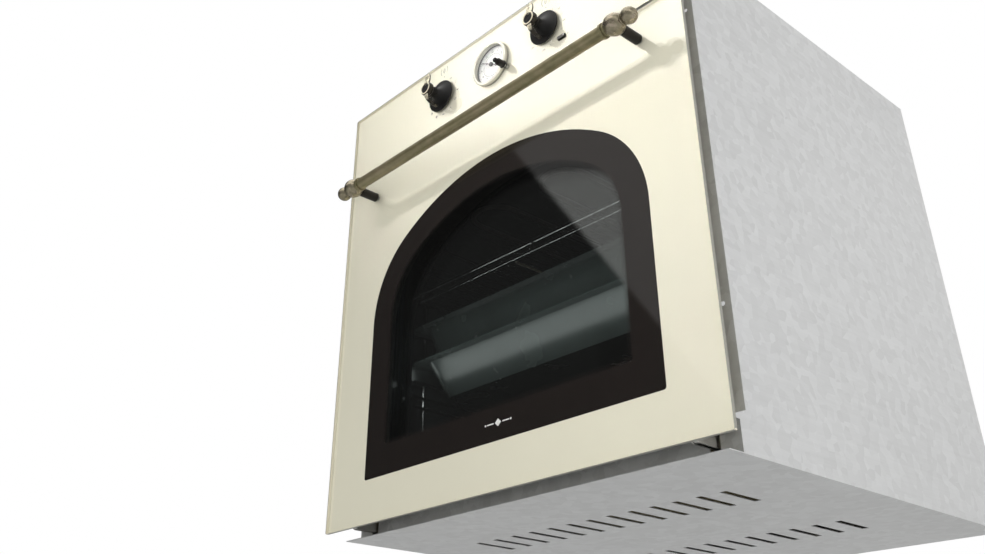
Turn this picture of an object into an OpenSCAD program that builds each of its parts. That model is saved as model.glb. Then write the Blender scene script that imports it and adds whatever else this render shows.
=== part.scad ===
// Built-in electric wall oven with an arched window, a bar handle and a control panel with a clock.
// Millimetres. +Z is up, +X is to the right seen from the front, and the front faces -Y.
// The origin is on the underside of the housing, on its centre line, in the plane of the cabinet front.
// Y = 0 is the rear face of the mounting flanges.

/* [Front] */
// Width of the door and the control panel
front_width = 595; // [580:1:600]
// Height from the bottom of the door to the top of the control panel
front_height = 595; // [590:1:597]
// Height of the control panel
panel_height = 112.5; // [110:0.5:116]
// Gap between the door and the control panel
door_gap = 3.5; // [2:0.5:5]
// Thickness of the front glass
front_glass = 4; // [3:0.5:4]
// Distance from the cabinet front to the front face of the glass
front_depth = 22; // [21:0.5:24]
// Height of the bottom of the door above the underside of the housing
front_bottom = 9; // [9:0.5:12]

/* [Window] */
// Half the width of the printed arch
arch_half_width = 229; // [215:1:232]
// Height of the bottom of the arch above the bottom of the door
arch_bottom = 52; // [45:1:60]
// Height above the bottom of the door where the arch starts to curve
arch_spring = 248; // [235:1:255]
// Height of the top of the arch above the bottom of the door
arch_top = 405.5; // [395:0.5:410]
// Radius of the two shoulders of the arch
arch_shoulder_r = 128; // [120:1:135]
// Width of the dark border inside the arch
border_width = 36; // [25:1:45]

/* [Handle] */
// Height of the handle above the bottom of the door
handle_height = 440; // [430:1:450]
// Distance from the glass to the centre of the handle
handle_reach = 38; // [35:1:45]
// Distance of each post from the centre line
post_offset = 236.5; // [225:0.5:240]
// Radius of the bar
bar_r = 7.75; // [6:0.25:9]
// Radius of the large ball at each post
ball_r = 12.75; // [12:0.25:14]
// Radius of the small ball at each end
finial_r = 9.6; // [8:0.1:10]

/* [Controls] */
// Distance of each knob from the centre line
knob_offset = 98; // [92:1:104]
// Radius of a knob's skirt
skirt_r = 23; // [20:0.5:25]
// Radius of a knob's front ring
ring_r = 9.75; // [9:0.25:11]
// Outer radius of the clock
clock_r = 31; // [30:0.5:32]

/* [Housing] */
// Width of the housing, to fit a 560 mm niche
housing_width = 556; // [552:1:558]
// Height of the housing, to fit a 600 mm niche
housing_height = 590; // [586:1:592]
// Depth of the housing behind the cabinet front
housing_depth = 530; // [528:1:540]
// Thickness of the sheet steel
sheet = 0.8; // [0.7:0.1:1.2]

/* [Cavity] */
// Width of the oven cavity
cavity_width = 480; // [478:1:482]
// Height of the cavity floor above the underside of the housing
cavity_floor = 96; // [95:1:98]
// Height of the cavity roof above the underside of the housing
cavity_roof = 446; // [444:1:447]
// Depth of the cavity behind the cabinet front
cavity_back = 430; // [429:1:432]
// Height of the lowest shelf level
first_level = 170; // [168:0.5:172]
// Distance between shelf levels
level_pitch = 47.6; // [46:0.1:48]

/* [Hidden] */
$fn = 64;
glass_y = -front_depth;
glass_back = glass_y + front_glass;
door_height = front_height - panel_height - door_gap;
door_top = front_bottom + door_height;
panel_bottom = door_top + door_gap;
panel_mid = panel_bottom + panel_height / 2;
print_thickness = 0.3;
// Door stack, front to back
print_back = glass_back + print_thickness;
inner_glass_y = 10;
inner_glass_t = 4;
rail_inner_x = 240;
rail_outer_x = 262;
rail_bottom = 28;
rail_top = 476;
rail_wall = 1.5;
// Door hinge
hinge_y = -9;
hinge_z = front_bottom + 7.5;
hinge_x = 249.5;
hinge_pin_r = 3;
running_gap = 0.05;
// Front frame
recess_y = 17;
half_housing = housing_width / 2;
flange_bottom = 30;
flange_x = 287.5;
screw_low_z = 130;
screw_high_z = 470;
screw_hole_r = 2.25;
recess_top = 470;
// Cavity
enamel = 0.9;
half_cavity = cavity_width / 2;
cavity_corner = 22;
mouth_y = recess_y + sheet;
function level(i) = first_level + i * level_pitch;
// Side racks
rack_x = 236.5;
rack_wire_r = 2.5;
rung_x = 232;
rung_r = 2;
rung_gap = 0.4;
rung_spacing = 13.4;
rack_front_y = 73;
rack_back_y = 385;
rim_half = 233;
// Trays
tray_front = 40;
tray_back = 392;
deep_bottom = 170;
tray_wall = 0.9;
shelf_wire_r = 3;
shelf_top_z = level(3) + shelf_wire_r + 0.2;
// Fans
fan_z = 271;
fan_r = 68;
baffle_y = 397;
baffle_half = 150;
fan_shaft_r = 4;
blower_y = 345;
blower_z = 532;
blower_r = 27;
blower_half = 95;
blower_shaft_r = 3;
duct_bottom = 471;
duct_top = 494;
duct_half = 200;
// Lamp
lamp_x = 190;
lamp_z = 398;
// Supply cable
gland_x = -200;
gland_z = 470;
gland_bore_r = 5;
// Clock
dial_h = -3;
stem_x = 27.5;
stem_z = -18;
stem_r = 2;
post_r = 1;
clock_half = 34;
// Knobs
knob_shaft_r = 3;
knob_top = 29.5;
neck_r = 7;
pilot_x = knob_offset + 25.7;
pilot_z = panel_mid - 27.8;
pilot_size = [11.5, 4.3];

// ---------------------------------------------------------------- helpers

// Points of an arc about c, from angle a0 to a1
function arc(c, r, a0, a1, n = 16) =
    [for (i = [0:n]) c + r * [cos(a0 + (a1 - a0) * i / n), sin(a0 + (a1 - a0) * i / n)]];

// A point of a curve with three control points
function curve_point(a, b, c, t) = (1 - t) * (1 - t) * a + 2 * t * (1 - t) * b + t * t * c;

// Places its children as seen from the front: X right, Y up, Z towards the viewer, 0 at the glass face
module on_front(x = 0, z = 0, h = 0) {
    translate([x, glass_y - h, z]) rotate([90, 0, 0]) children();
}

// A round bar along Y
module rod_y(r, y0, y1) {
    translate([0, y0, 0]) rotate([-90, 0, 0]) cylinder(r = r, h = y1 - y0);
}

// A round bar along X
module rod_x(r, x0, x1) {
    translate([x0, 0, 0]) rotate([0, 90, 0]) cylinder(r = r, h = x1 - x0);
}

// A block from its lowest to its highest corner
module block(low, high) {
    translate(low) cube(high - low);
}

// A rectangle with round corners, centred
module rounded(w, h, r) {
    square([w - 2 * r, h], center = true);
    square([w, h - 2 * r], center = true);
    for (x = [-1, 1], y = [-1, 1])
        translate([x * (w / 2 - r), y * (h / 2 - r)]) circle(r);
}

// A rounded plate facing the front, between two depths
module plate(w, z0, z1, y0, y1, r) {
    translate([0, y1, (z0 + z1) / 2]) rotate([90, 0, 0])
        linear_extrude(y1 - y0) rounded(w, z1 - z0, r);
}

// Makes a copy on each side of the centre line
module both_sides() {
    children();
    mirror([1, 0, 0]) children();
}

// The arch, as a three-centred curve over straight sides, drawn inwards by inset
crown_a = arch_half_width - arch_shoulder_r;
crown_b = arch_spring - arch_top;
crown_r = (arch_shoulder_r * arch_shoulder_r - crown_a * crown_a - crown_b * crown_b)
    / (2 * (crown_b + arch_shoulder_r));
crown_z = arch_top - crown_r;
crown_angle = atan2(arch_spring - crown_z, crown_a);
arch_corner = 3;
module arch(inset) {
    low = arch_bottom + inset;
    side = arch_half_width - inset;
    corner = max(arch_corner, inset > 0 ? 1 : 0);
    polygon(concat(
        arc([side - corner, low + corner], corner, -90, 0, 4),
        arc([crown_a, arch_spring], arch_shoulder_r - inset, 0, crown_angle, 16),
        arc([0, crown_z], crown_r - inset, crown_angle, 180 - crown_angle, 24),
        arc([-crown_a, arch_spring], arch_shoulder_r - inset, 180 - crown_angle, 180, 16),
        arc([corner - side, low + corner], corner, 180, 270, 4)
    ));
}

// ---------------------------------------------------------------- housing

lip = 14;
vent_pitch = 12;
back_screw_z = [60, 295, 560];
top_screw_y = [60, 270, 500];
side_screw_x = half_housing - lip / 2 - sheet / 2;
screw_clear_r = 1.6;

module housing_side() {
    back = housing_depth - sheet;
    block([half_housing - sheet, mouth_y, sheet], [half_housing, housing_depth, housing_height]);
    // The rear lip that the back cover is screwed to
    difference() {
        block([half_housing - lip, back - sheet, sheet],
              [half_housing - sheet, back, housing_height - sheet]);
        for (z = back_screw_z)
            translate([side_screw_x, 0, z]) rod_y(screw_clear_r, back - 5, back + 5);
    }
    // The top lip under the top cover
    difference() {
        block([half_housing - lip, mouth_y, housing_height - 2 * sheet],
              [half_housing - sheet, back - sheet, housing_height - sheet]);
        for (y = top_screw_y)
            translate([side_screw_x, y, housing_height - 5]) cylinder(r = screw_clear_r, h = 10);
    }
}

module housing_side_left() {
    color("gainsboro") mirror([1, 0, 0]) housing_side();
}

module housing_side_right() {
    color("gainsboro") housing_side();
}

module housing_top_cover() {
    half = half_housing - sheet;
    color("gainsboro") difference() {
        block([-half, mouth_y, housing_height - sheet], [half, housing_depth - sheet, housing_height]);
        // Air intake slots over the blower
        for (i = [-7:7])
            block([i * vent_pitch - 3, 310, housing_height - 2],
                  [i * vent_pitch + 3, 380, housing_height + 1]);
        both_sides() for (y = top_screw_y)
            translate([side_screw_x, y, housing_height - 5]) cylinder(r = screw_clear_r, h = 10);
    }
}

module housing_back_cover() {
    half = half_housing - sheet;
    front = housing_depth - sheet;
    color("gainsboro") difference() {
        block([-half, front, sheet], [half, housing_depth, housing_height]);
        // Cooling louvres beside the fan motor
        for (row = [0:8])
            both_sides() block([110, front - 1, 200 + row * 16], [190, housing_depth + 1, 206 + row * 16]);
        translate([gland_x, 0, gland_z]) rod_y(9, front - 1, housing_depth + 1);
        both_sides() for (z = back_screw_z)
            translate([side_screw_x, 0, z]) rod_y(screw_clear_r, front - 1, housing_depth + 1);
        // Round grille behind the motor
        for (ring = [1:3], i = [0:6 * ring - 1])
            rotate_about_fan(i * 60 / ring) translate([ring * 13, 0, 0])
                rod_y(3.5, front - 1, housing_depth + 1);
    }
}

module housing_base() {
    color("gainsboro") difference() {
        block([-half_housing, -4, 0], [half_housing, housing_depth, sheet]);
        // Cooling slots under the cavity
        for (i = [-6:6], y = [120, 330])
            block([i * 30 - 4, y, -1], [i * 30 + 4, y + 60, sheet + 1]);
    }
}

module front_frame() {
    half = half_housing - sheet;
    color("silver") {
        difference() {
            block([-half, recess_y, sheet], [half, mouth_y, recess_top]);
            // The opening in front of the cavity
            plate(510, 81, 461, recess_y - 1, mouth_y + 1, 30);
            // Slots for the hinge bodies
            both_sides() block([hinge_x - 6, recess_y - 1, hinge_z - 9], [hinge_x + 6, mouth_y + 1, 42]);
        }
        both_sides() {
            // Return wall beside the door
            block([half, 0, flange_bottom], [half_housing, mouth_y, housing_height]);
            block([half, recess_y, sheet], [half_housing, mouth_y, flange_bottom]);
            // Flange that is screwed to the cabinet
            difference() {
                block([half, -sheet, flange_bottom], [front_width / 2 - 1, 0, housing_height]);
                for (z = [screw_low_z, screw_high_z])
                    translate([flange_x, 0, z]) rod_y(screw_hole_r, -5, 5);
            }
        }
    }
}

module screw() {
    cylinder(r = 1.5, h = 6);
    difference() {
        translate([0, 0, -1.9]) cylinder(r = 3.4, h = 1.9);
        translate([0, 0, -2.4]) cylinder(r = 1.6, h = 1.4, $fn = 6);
    }
}

module housing_screws() {
    color("dimgray") both_sides() {
        for (z = back_screw_z)
            translate([side_screw_x, housing_depth, z]) rotate([90, 0, 0]) screw();
        for (y = top_screw_y)
            translate([side_screw_x, y, housing_height]) rotate([180, 0, 0]) screw();
    }
}

// ---------------------------------------------------------------- cavity

module cavity_block(y0, y1, grow) {
    plate(cavity_width + 2 * grow, cavity_floor - grow, cavity_roof + grow, y0, y1, cavity_corner + grow);
}

element_r = 3.25;
grill_z = 423;
module cavity_shell() {
    color([0.17, 0.2, 0.2]) difference() {
        union() {
            cavity_block(mouth_y, cavity_back + enamel, enamel);
            plate(538, 68, recess_top, mouth_y, mouth_y + enamel, 30);
        }
        cavity_block(mouth_y - 1, cavity_back, 0);
        // Fan shaft, lamp and element terminals
        translate([0, 0, fan_z]) rod_y(7, cavity_back - 1, cavity_back + 3);
        translate([lamp_x, 0, lamp_z]) rod_y(22, cavity_back - 1, cavity_back + 3);
        both_sides() for (p = [[165, grill_z], [20, fan_z + 93]])
            translate([p[0], 0, p[1]]) rod_y(element_r + 0.3, cavity_back - 1, cavity_back + 3);
        translate([sensor_x, 0, sensor_z]) rod_y(2, cavity_back - 1, cavity_back + 3);
    }
}

module cavity_back_baffle() {
    color([0.2, 0.23, 0.23]) difference() {
        plate(2 * baffle_half, fan_z - 130, fan_z + 130, baffle_y, cavity_back, 20);
        plate(2 * baffle_half - 2, fan_z - 129, fan_z + 129, baffle_y + 1, cavity_back + 1, 19);
        // Round intake grille
        for (ring = [1:4], i = [0:6 * ring - 1])
            rotate_about_fan(i * 60 / ring) translate([ring * 11, 0, 0])
                rod_y(3.6, baffle_y - 1, baffle_y + 2);
        // Outlet slots around the rim
        for (z = [-1, 1], i = [-4:4])
            translate([i * 26, baffle_y, fan_z + z * 112]) cube([18, 4, 6], center = true);
        for (i = [-3:3])
            both_sides() translate([131, baffle_y, fan_z + i * 26]) cube([6, 4, 18], center = true);
    }
}

module rotate_about_fan(a) {
    translate([0, 0, fan_z]) rotate([0, a, 0]) children();
}

gasket_half = 247.5;
gasket_low = 88.5;
gasket_high = 453.5;
gasket_corner = 28;
gasket_r = 1.9;
module door_gasket() {
    color([0.25, 0.25, 0.25]) translate([0, mouth_y - gasket_r, 0]) {
        for (z = [gasket_low, gasket_high])
            translate([0, 0, z]) rod_x(gasket_r, gasket_corner - gasket_half, gasket_half - gasket_corner);
        for (x = [-gasket_half, gasket_half])
            translate([x, 0, gasket_low + gasket_corner])
                cylinder(r = gasket_r, h = gasket_high - gasket_low - 2 * gasket_corner);
        for (i = [0:3])
            translate([(i == 0 || i == 3 ? 1 : -1) * (gasket_half - gasket_corner), 0,
                       i < 2 ? gasket_high - gasket_corner : gasket_low + gasket_corner])
                rotate([90, 0, 0]) rotate([0, 0, i * 90])
                    rotate_extrude(angle = 90) translate([gasket_corner, 0]) circle(gasket_r, $fn = 24);
    }
}

module insulation_blanket() {
    color("khaki") difference() {
        block([-268, mouth_y + 6, 56], [268, 462, 468]);
        block([-half_cavity - 2, mouth_y, cavity_floor - 16],
              [half_cavity + 2, cavity_back + 3, cavity_roof + 2]);
        block([-90, cavity_back, fan_z - 90], [90, 470, fan_z + 110]);
        translate([lamp_x, 0, lamp_z]) rod_y(30, cavity_back - 1, 470);
        both_sides() translate([165, 0, grill_z]) rod_y(8, cavity_back - 1, 470);
        translate([sensor_x, 0, sensor_z]) rod_y(4, cavity_back - 1, 470);
        both_sides() translate([60, 0, 88]) rod_y(8, cavity_back - 1, 470);
        // Room for the door hinges
        both_sides() block([hinge_x - 12, 0, 0], [280, 175, 62]);
    }
}

// ---------------------------------------------------------------- heating elements

// Straight runs along Y at the given places, joined by half turns alternately at the front and the back
module serpentine(runs, front, back, z, tail) {
    last = len(runs) - 1;
    bend = (runs[1] - runs[0]) / 2;
    for (i = [0:last])
        translate([runs[i], 0, z])
            rod_y(element_r, front + bend, i == 0 || i == last ? tail : back - bend);
    for (i = [0:last - 1])
        translate([runs[i] + bend, i % 2 == 0 ? front + bend : back - bend, z])
            rotate([0, 0, i % 2 == 0 ? 180 : 0])
                rotate_extrude(angle = 180) translate([bend, 0]) circle(element_r, $fn = 24);
}

module grill_element() {
    color([0.3, 0.3, 0.31]) serpentine([for (i = [-2.5:2.5]) i * 66], 78, 400, grill_z, 448);
}

module bottom_element() {
    color([0.3, 0.3, 0.31])
        serpentine([-60, 60], 90, 400, cavity_floor - 8, 448);
}

ring_r_mid = 88;
module ring_element() {
    y = 413;
    color([0.35, 0.33, 0.33]) {
        translate([0, y, fan_z]) rotate([90, 0, 0]) rotate([0, 0, 103])
            rotate_extrude(angle = 334) translate([ring_r_mid, 0]) circle(element_r, $fn = 24);
        both_sides() translate([20, 0, fan_z + 93]) {
            rod_y(element_r, y + 3.4, 448);
            rod_y(element_r + 2, 434, 440);
        }
    }
}

// ---------------------------------------------------------------- fans

module fan_motor() {
    color("slategray") translate([0, 0, fan_z]) difference() {
        union() {
            rod_y(30, cavity_back + enamel, 434);
            block([-36, 440, -30], [36, 462, 30]);
            rod_y(24, 434, 476);
            block([-20, 436, 30], [20, 466, 52]);
            for (x = [-24, 24], z = [-16, 16]) translate([x, 0, z]) rod_y(3, 433, 441);
        }
        rod_y(fan_shaft_r + running_gap, 430, 470);
    }
}

module convection_fan() {
    color("silver") translate([0, 0, fan_z]) {
        rod_y(fan_shaft_r, 404, 469);
        rod_y(fan_r - 14, 418, 419.2);
        rod_y(9, 407, 424);
        for (a = [0:30:330])
            rotate([0, a, 0]) translate([fan_r - 40, 405, -0.6]) rotate([0, 18, 0]) cube([38, 19, 1.2]);
    }
}

module air_duct() {
    color("gainsboro") difference() {
        block([-duct_half, mouth_y + 0.1, duct_bottom], [duct_half, 296, duct_top]);
        block([-duct_half + sheet, mouth_y - 1, duct_bottom + sheet],
              [duct_half - sheet, 297, duct_top - sheet]);
    }
}

scroll_r = 36;
module cooling_fan_housing() {
    color("darkgray") difference() {
        union() {
            translate([0, blower_y, blower_z]) rod_x(scroll_r, -blower_half - 6, blower_half + 6);
            block([-blower_half - 6, 297, duct_bottom], [blower_half + 6, blower_y + 20, blower_z - 20]);
        }
        translate([0, blower_y, blower_z]) rod_x(scroll_r - 1.2, -blower_half - 4.5, blower_half + 4.5);
        block([-blower_half - 4.5, 295, duct_bottom + 1.2],
              [blower_half + 4.5, blower_y + 12, blower_z - 24]);
        // Intake along the top
        block([-blower_half, blower_y - 24, blower_z + 10], [blower_half, blower_y + 24, blower_z + 50]);
        translate([0, blower_y, blower_z]) rod_x(blower_shaft_r + running_gap, -150, 150);
    }
}

module cooling_fan_rotor() {
    color("silver") translate([0, blower_y, blower_z]) {
        rod_x(blower_shaft_r, -blower_half - 5.5, blower_half + 40);
        for (x = [-blower_half, 0, blower_half - 2]) translate([x, 0, 0]) rod_x(blower_r, 0, 2);
        for (a = [0:18:342])
            rotate([a, 0, 0]) translate([-blower_half + 1, blower_r - 9, 0]) rotate([30, 0, 0])
                cube([2 * blower_half - 2, 8, 0.8]);
    }
}

module cooling_fan_motor() {
    color("slategray") translate([0, blower_y, blower_z]) difference() {
        union() {
            rod_x(22, blower_half + 10, blower_half + 44);
            block([blower_half + 14, -30, -24], [blower_half + 34, 26, 24]);
            block([blower_half + 6, -26, -20], [blower_half + 10, 26, 20]);
        }
        rod_x(blower_shaft_r + running_gap, blower_half, blower_half + 41);
    }
}

// ---------------------------------------------------------------- racks and trays

module side_racks() {
    color("silver") both_sides() {
        for (y = [rack_front_y, rack_back_y])
            translate([rack_x, y, 116]) cylinder(r = rack_wire_r, h = 290);
        for (z = [116, 406])
            translate([rack_x, 0, z]) rod_y(rack_wire_r, rack_front_y, rack_back_y);
        for (i = [0:4], up = [0, 1])
            translate([rung_x, 0, level(i) - rung_gap - rung_r + up * rung_spacing])
                rod_y(rung_r, 50, 394);
        // Bosses that hook the rack to the cavity wall
        for (y = [rack_front_y + 40, rack_back_y - 40])
            translate([0, y, 406]) rod_x(4, rack_x, half_cavity);
    }
}

rail_low = 195;
rail_high = level(1) - rung_gap - 2 * rung_r;
module telescopic_rails_fixed() {
    color("lightgray") both_sides() difference() {
        block([225.6, 50, rail_low], [233.8, 385, rail_high]);
        block([224, 49, rail_low + 3], [230, 386, rail_high - 3]);
    }
}

module telescopic_rails_moving() {
    color("silver") both_sides() {
        block([220, 44, rail_low + 2.5], [225.4, 380, level(1)]);
        block([225, 46, rail_low + 4.5], [229, 380, rail_high - 4.5]);
        // Stop at the front end
        block([220, 40, rail_low + 1], [229, 44, rail_high + 1]);
    }
}

// A tray with sloping walls and a flat rim, open at the top
module tray(bottom, rim_z, half, slope) {
    mid_y = (tray_front + tray_back) / 2;
    depth = tray_back - tray_front - 24;
    height = rim_z - bottom;
    shrink = 1 - slope / half;
    difference() {
        union() {
            translate([0, mid_y, bottom]) mirror([0, 0, 1]) translate([0, 0, -height])
                linear_extrude(height, scale = shrink) rounded(2 * half, depth, 24);
            translate([0, mid_y, rim_z]) linear_extrude(tray_wall)
                rounded(2 * rim_half, tray_back - tray_front, 18);
        }
        translate([0, mid_y, bottom + tray_wall]) mirror([0, 0, 1]) translate([0, 0, -height - 2])
            linear_extrude(height + 2, scale = shrink)
                rounded(2 * half - 2 * tray_wall, depth - 2 * tray_wall, 23);
    }
}

module deep_tray() {
    color([0.2, 0.23, 0.23]) tray(deep_bottom, level(1), 214, 22);
}

module shallow_tray() {
    color([0.2, 0.23, 0.23]) tray(level(2) - 40, level(2), 218, 12);
}

module wire_shelf() {
    front = 46;
    back = 388;
    z = shelf_top_z;
    color("silver") {
        both_sides() translate([rung_x - 1.5, 0, z]) rod_y(shelf_wire_r, front, back);
        for (y = [front, back]) translate([0, y, z]) rod_x(shelf_wire_r, -rung_x + 1.5, rung_x - 1.5);
        for (i = [-12:12])
            translate([i * 17, 0, z + 0.6]) rod_y(1.5, front, back);
        for (y = [150, 284]) translate([0, y, z - 2.6]) rod_x(2, -rung_x + 6, rung_x - 6);
        // Lower rail that stops food sliding off the front
        translate([0, front, z - 12]) rod_x(2.2, -212, 212);
        for (x = [-212, 0, 212]) translate([x, front, z - 12]) cylinder(r = 2.2, h = 12);
    }
}

// ---------------------------------------------------------------- lamp

module lamp_holder() {
    color("whitesmoke") translate([lamp_x, 0, lamp_z]) difference() {
        union() {
            rod_y(28, cavity_back + enamel, cavity_back + 4);
            rod_y(21.8, cavity_back - 2, cavity_back + 24);
        }
        rod_y(17, cavity_back - 3, cavity_back + 20);
    }
}

module lamp_bulb() {
    color("lightyellow") translate([lamp_x, 0, lamp_z]) {
        rod_y(8, cavity_back + 4, cavity_back + 20);
        translate([0, cavity_back - 1, 0]) sphere(11);
        rod_y(7, cavity_back - 1, cavity_back + 4);
    }
}

module lamp_cover() {
    color([0.9, 0.95, 0.95, 0.5]) translate([lamp_x, cavity_back, lamp_z]) rotate([90, 0, 0])
        rotate_extrude() polygon(concat(
            [[22, 0], [29, 0], [29, 6]],
            arc([9, 6], 20, 0, 90, 12),
            [[0, 26], [0, 23.6], [9, 23.6]],
            arc([9, 6], 17.6, 90, 0, 12),
            [[26.6, 2.4], [22, 2.4]]
        ));
}

// ---------------------------------------------------------------- control panel

shaft_hole_r = 4.2;
module control_panel_glass() {
    color([0.95, 0.93, 0.86]) difference() {
        plate(front_width, panel_bottom, panel_bottom + panel_height, glass_y, glass_back, 2);
        for (x = [-knob_offset, knob_offset])
            translate([x, 0, panel_mid]) rod_y(shaft_hole_r, glass_y - 1, glass_back + 1);
        translate([0, 0, panel_mid]) rod_y(clock_r - 1.5, glass_y - 1, glass_back + 1);
        translate([stem_x, 0, panel_mid + stem_z]) rod_y(3.4, glass_y - 1, glass_back + 1);
        translate([pilot_x, -front_depth / 2, pilot_z])
            cube([pilot_size[0], 60, pilot_size[1]], center = true);
    }
}

switch_half = 23;
module control_panel_bracket() {
    low = panel_bottom + 4;
    color("silver") {
        difference() {
            block([-275, glass_back, low], [275, glass_back + sheet, panel_bottom + panel_height - 6]);
            for (x = [-knob_offset, knob_offset])
                translate([x, 0, panel_mid]) rod_y(5, glass_back - 1, glass_back + 3);
            block([-clock_half - 1, glass_back - 1, panel_mid - clock_half - 1],
                  [clock_half + 1, glass_back + 3, panel_mid + clock_half + 1]);
            translate([pilot_x, glass_back, pilot_z])
                cube([pilot_size[0], 10, pilot_size[1]], center = true);
        }
        // Shelf above the air outlet, and the return under the top cover
        block([-275, glass_back + sheet, low], [275, 90, low + sheet]);
        block([-275, glass_back + sheet, housing_height - 5], [275, 50, housing_height - 5 + sheet]);
        // Ears to the flanges of the front frame
        both_sides() block([272, glass_back + sheet, low + sheet], [272 + sheet, 40, housing_height - 5]);
    }
}

// A rotary control behind the panel: threaded bush, body and fixed spindle
module rotary_control(depth) {
    front = glass_back + sheet;
    rod_y(4.95, glass_back, front);
    block([-switch_half, front, -switch_half], [switch_half, front + depth, switch_half]);
    rod_y(knob_shaft_r, glass_y - 15, glass_back);
    for (x = [-12, 0, 12], z = [-10, 10])
        block([x - 3, front + depth, z - 0.4], [x + 3, front + 8 + depth, z + 0.4]);
}

module function_switch() {
    color("ivory") translate([-knob_offset, 0, panel_mid]) rotary_control(42);
}

capillary_r = 0.8;
sensor_x = -220;
sensor_z = 425;
module thermostat() {
    back = glass_back + sheet + 32;
    start_x = knob_offset + 12;
    turn_y = 484;
    high = panel_mid + 16;
    color("tan") {
        translate([knob_offset, 0, panel_mid]) rotary_control(32);
        // Capillary to the sensor bulb in the cavity: back over the roof, down, and forward into the cavity
        translate([start_x, 0, high]) rod_y(capillary_r, back, turn_y);
        translate([sensor_x, turn_y, high]) rod_x(capillary_r, 0, start_x - sensor_x);
        translate([sensor_x, turn_y, sensor_z]) cylinder(r = capillary_r, h = high - sensor_z);
        translate([sensor_x, 0, sensor_z]) rod_y(capillary_r, 330, turn_y);
        translate([sensor_x, 0, sensor_z]) rod_y(2.2, 230, 330);
        for (p = [[start_x, turn_y, high], [sensor_x, turn_y, high], [sensor_x, turn_y, sensor_z]])
            translate(p) sphere(capillary_r, $fn = 24);
    }
}

module pilot_lamp() {
    color([0.3, 0.29, 0.28]) translate([pilot_x, 0, pilot_z]) {
        block([-pilot_size[0] / 2, glass_y, -pilot_size[1] / 2],
              [pilot_size[0] / 2, -10, pilot_size[1] / 2]);
        rod_y(4, -10, 6);
    }
}

module terminal_block() {
    color("ivory") translate([gland_x, 0, gland_z + 42]) difference() {
        block([-30, housing_depth - 26, -12], [30, housing_depth - sheet, 12]);
        for (i = [-2:2]) translate([i * 11, housing_depth - 20, -13]) cylinder(r = 2.6, h = 26);
    }
}

module cable_gland() {
    color("black") translate([gland_x, 0, gland_z]) difference() {
        union() {
            rod_y(9, housing_depth - 8, housing_depth + 8);
            rod_y(12, housing_depth, housing_depth + 5);
            translate([0, housing_depth - 5, 0]) rotate([-90, 0, 0])
                cylinder(r = 12, h = 5 - sheet, $fn = 6);
        }
        rod_y(gland_bore_r, housing_depth - 9, housing_depth + 9);
    }
}

// ---------------------------------------------------------------- clock

module clock_body() {
    color("dimgray") difference() {
        union() {
            on_front(0, panel_mid, -25) linear_extrude(21) square(2 * clock_half, center = true);
            on_front(0, panel_mid, -4) cylinder(r = 27.8, h = 0.4);
            on_front(0, panel_mid, dial_h - 0.6) cylinder(r = post_r, h = 4.4);
        }
        on_front(stem_x, panel_mid + stem_z, -23) cylinder(r = stem_r + running_gap, h = 25);
    }
}

stem_gap = 4.1;
bezel_h = 3.8;
module clock_bezel() {
    color([0.87, 0.84, 0.76]) on_front(0, panel_mid) difference() {
        rotate_extrude() polygon(concat(
            [[27.9, dial_h - 0.4], [29.4, dial_h - 0.4], [29.4, 0], [clock_r, 0]],
            arc([clock_r - 1.6, bezel_h - 1.6], 1.6, 0, 90, 6),
            arc([27.8, bezel_h - 0.6], 0.6, 90, 180, 4),
            [[27.2, 2.9], [27.9, 2.9]]
        ));
        // Notch in the outer edge for the stem
        translate([stem_x, stem_z, -1]) cylinder(r = 3.2, h = 8);
    }
}

module clock_dial() {
    color("white") on_front(0, panel_mid, dial_h - 0.6) difference() {
        cylinder(r = 27.8, h = 0.6);
        translate([0, 0, -1]) cylinder(r = post_r, h = 3);
    }
}

module clock_lens() {
    color([0.95, 0.97, 0.97, 0.4]) on_front(0, panel_mid, 1.9) cylinder(r = 27.1, h = 1);
}

// A hand with a hub, a pierced disc part way along and a tapered tip
module clock_hand(length, disc_at, disc_r, hub_r) {
    linear_extrude(0.3) difference() {
        union() {
            circle(hub_r);
            polygon([[-0.45, 0], [0.45, 0], [0.3, length - 1], [0, length], [-0.3, length - 1]]);
            translate([0, disc_at]) circle(disc_r);
        }
        circle(post_r + running_gap);
        translate([0, disc_at]) circle(disc_r - 0.7);
    }
}

minute_angle = 302;
hour_angle = 115;
module minute_hand() {
    color("black") on_front(0, panel_mid, -1.1) rotate([0, 0, -minute_angle]) {
        clock_hand(21.5, 10, 1.6, 2.2);
        difference() {
            cylinder(r = 3, h = 1.6);
            translate([0, 0, -1]) cylinder(r = post_r + running_gap, h = 4);
        }
    }
}

module hour_hand() {
    color("black") on_front(0, panel_mid, -2.1) rotate([0, 0, -hour_angle]) clock_hand(15, 9, 2.2, 2.4);
}

module clock_stem_spindle() {
    color("silver") on_front(stem_x, panel_mid + stem_z, -18) cylinder(r = stem_r, h = 30.9);
}

module clock_stem_knob() {
    color([0.08, 0.08, 0.08]) on_front(stem_x, panel_mid + stem_z) difference() {
        rotate_extrude() polygon(concat(
            [[0, stem_gap], [5.25, stem_gap], [5.25, stem_gap + 1.1], [4.5, stem_gap + 1.7], [4.5, 13.4]],
            arc([3.7, 13.2], 0.8, 0, 90, 4),
            [[3, 14]],
            arc([2.1, 18.6], 0.9, 0, 90, 4),
            [[0, 19.5]]
        ));
        translate([0, 0, 2]) cylinder(r = stem_r + running_gap, h = 11.1);
    }
}

// ---------------------------------------------------------------- knobs

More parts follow.
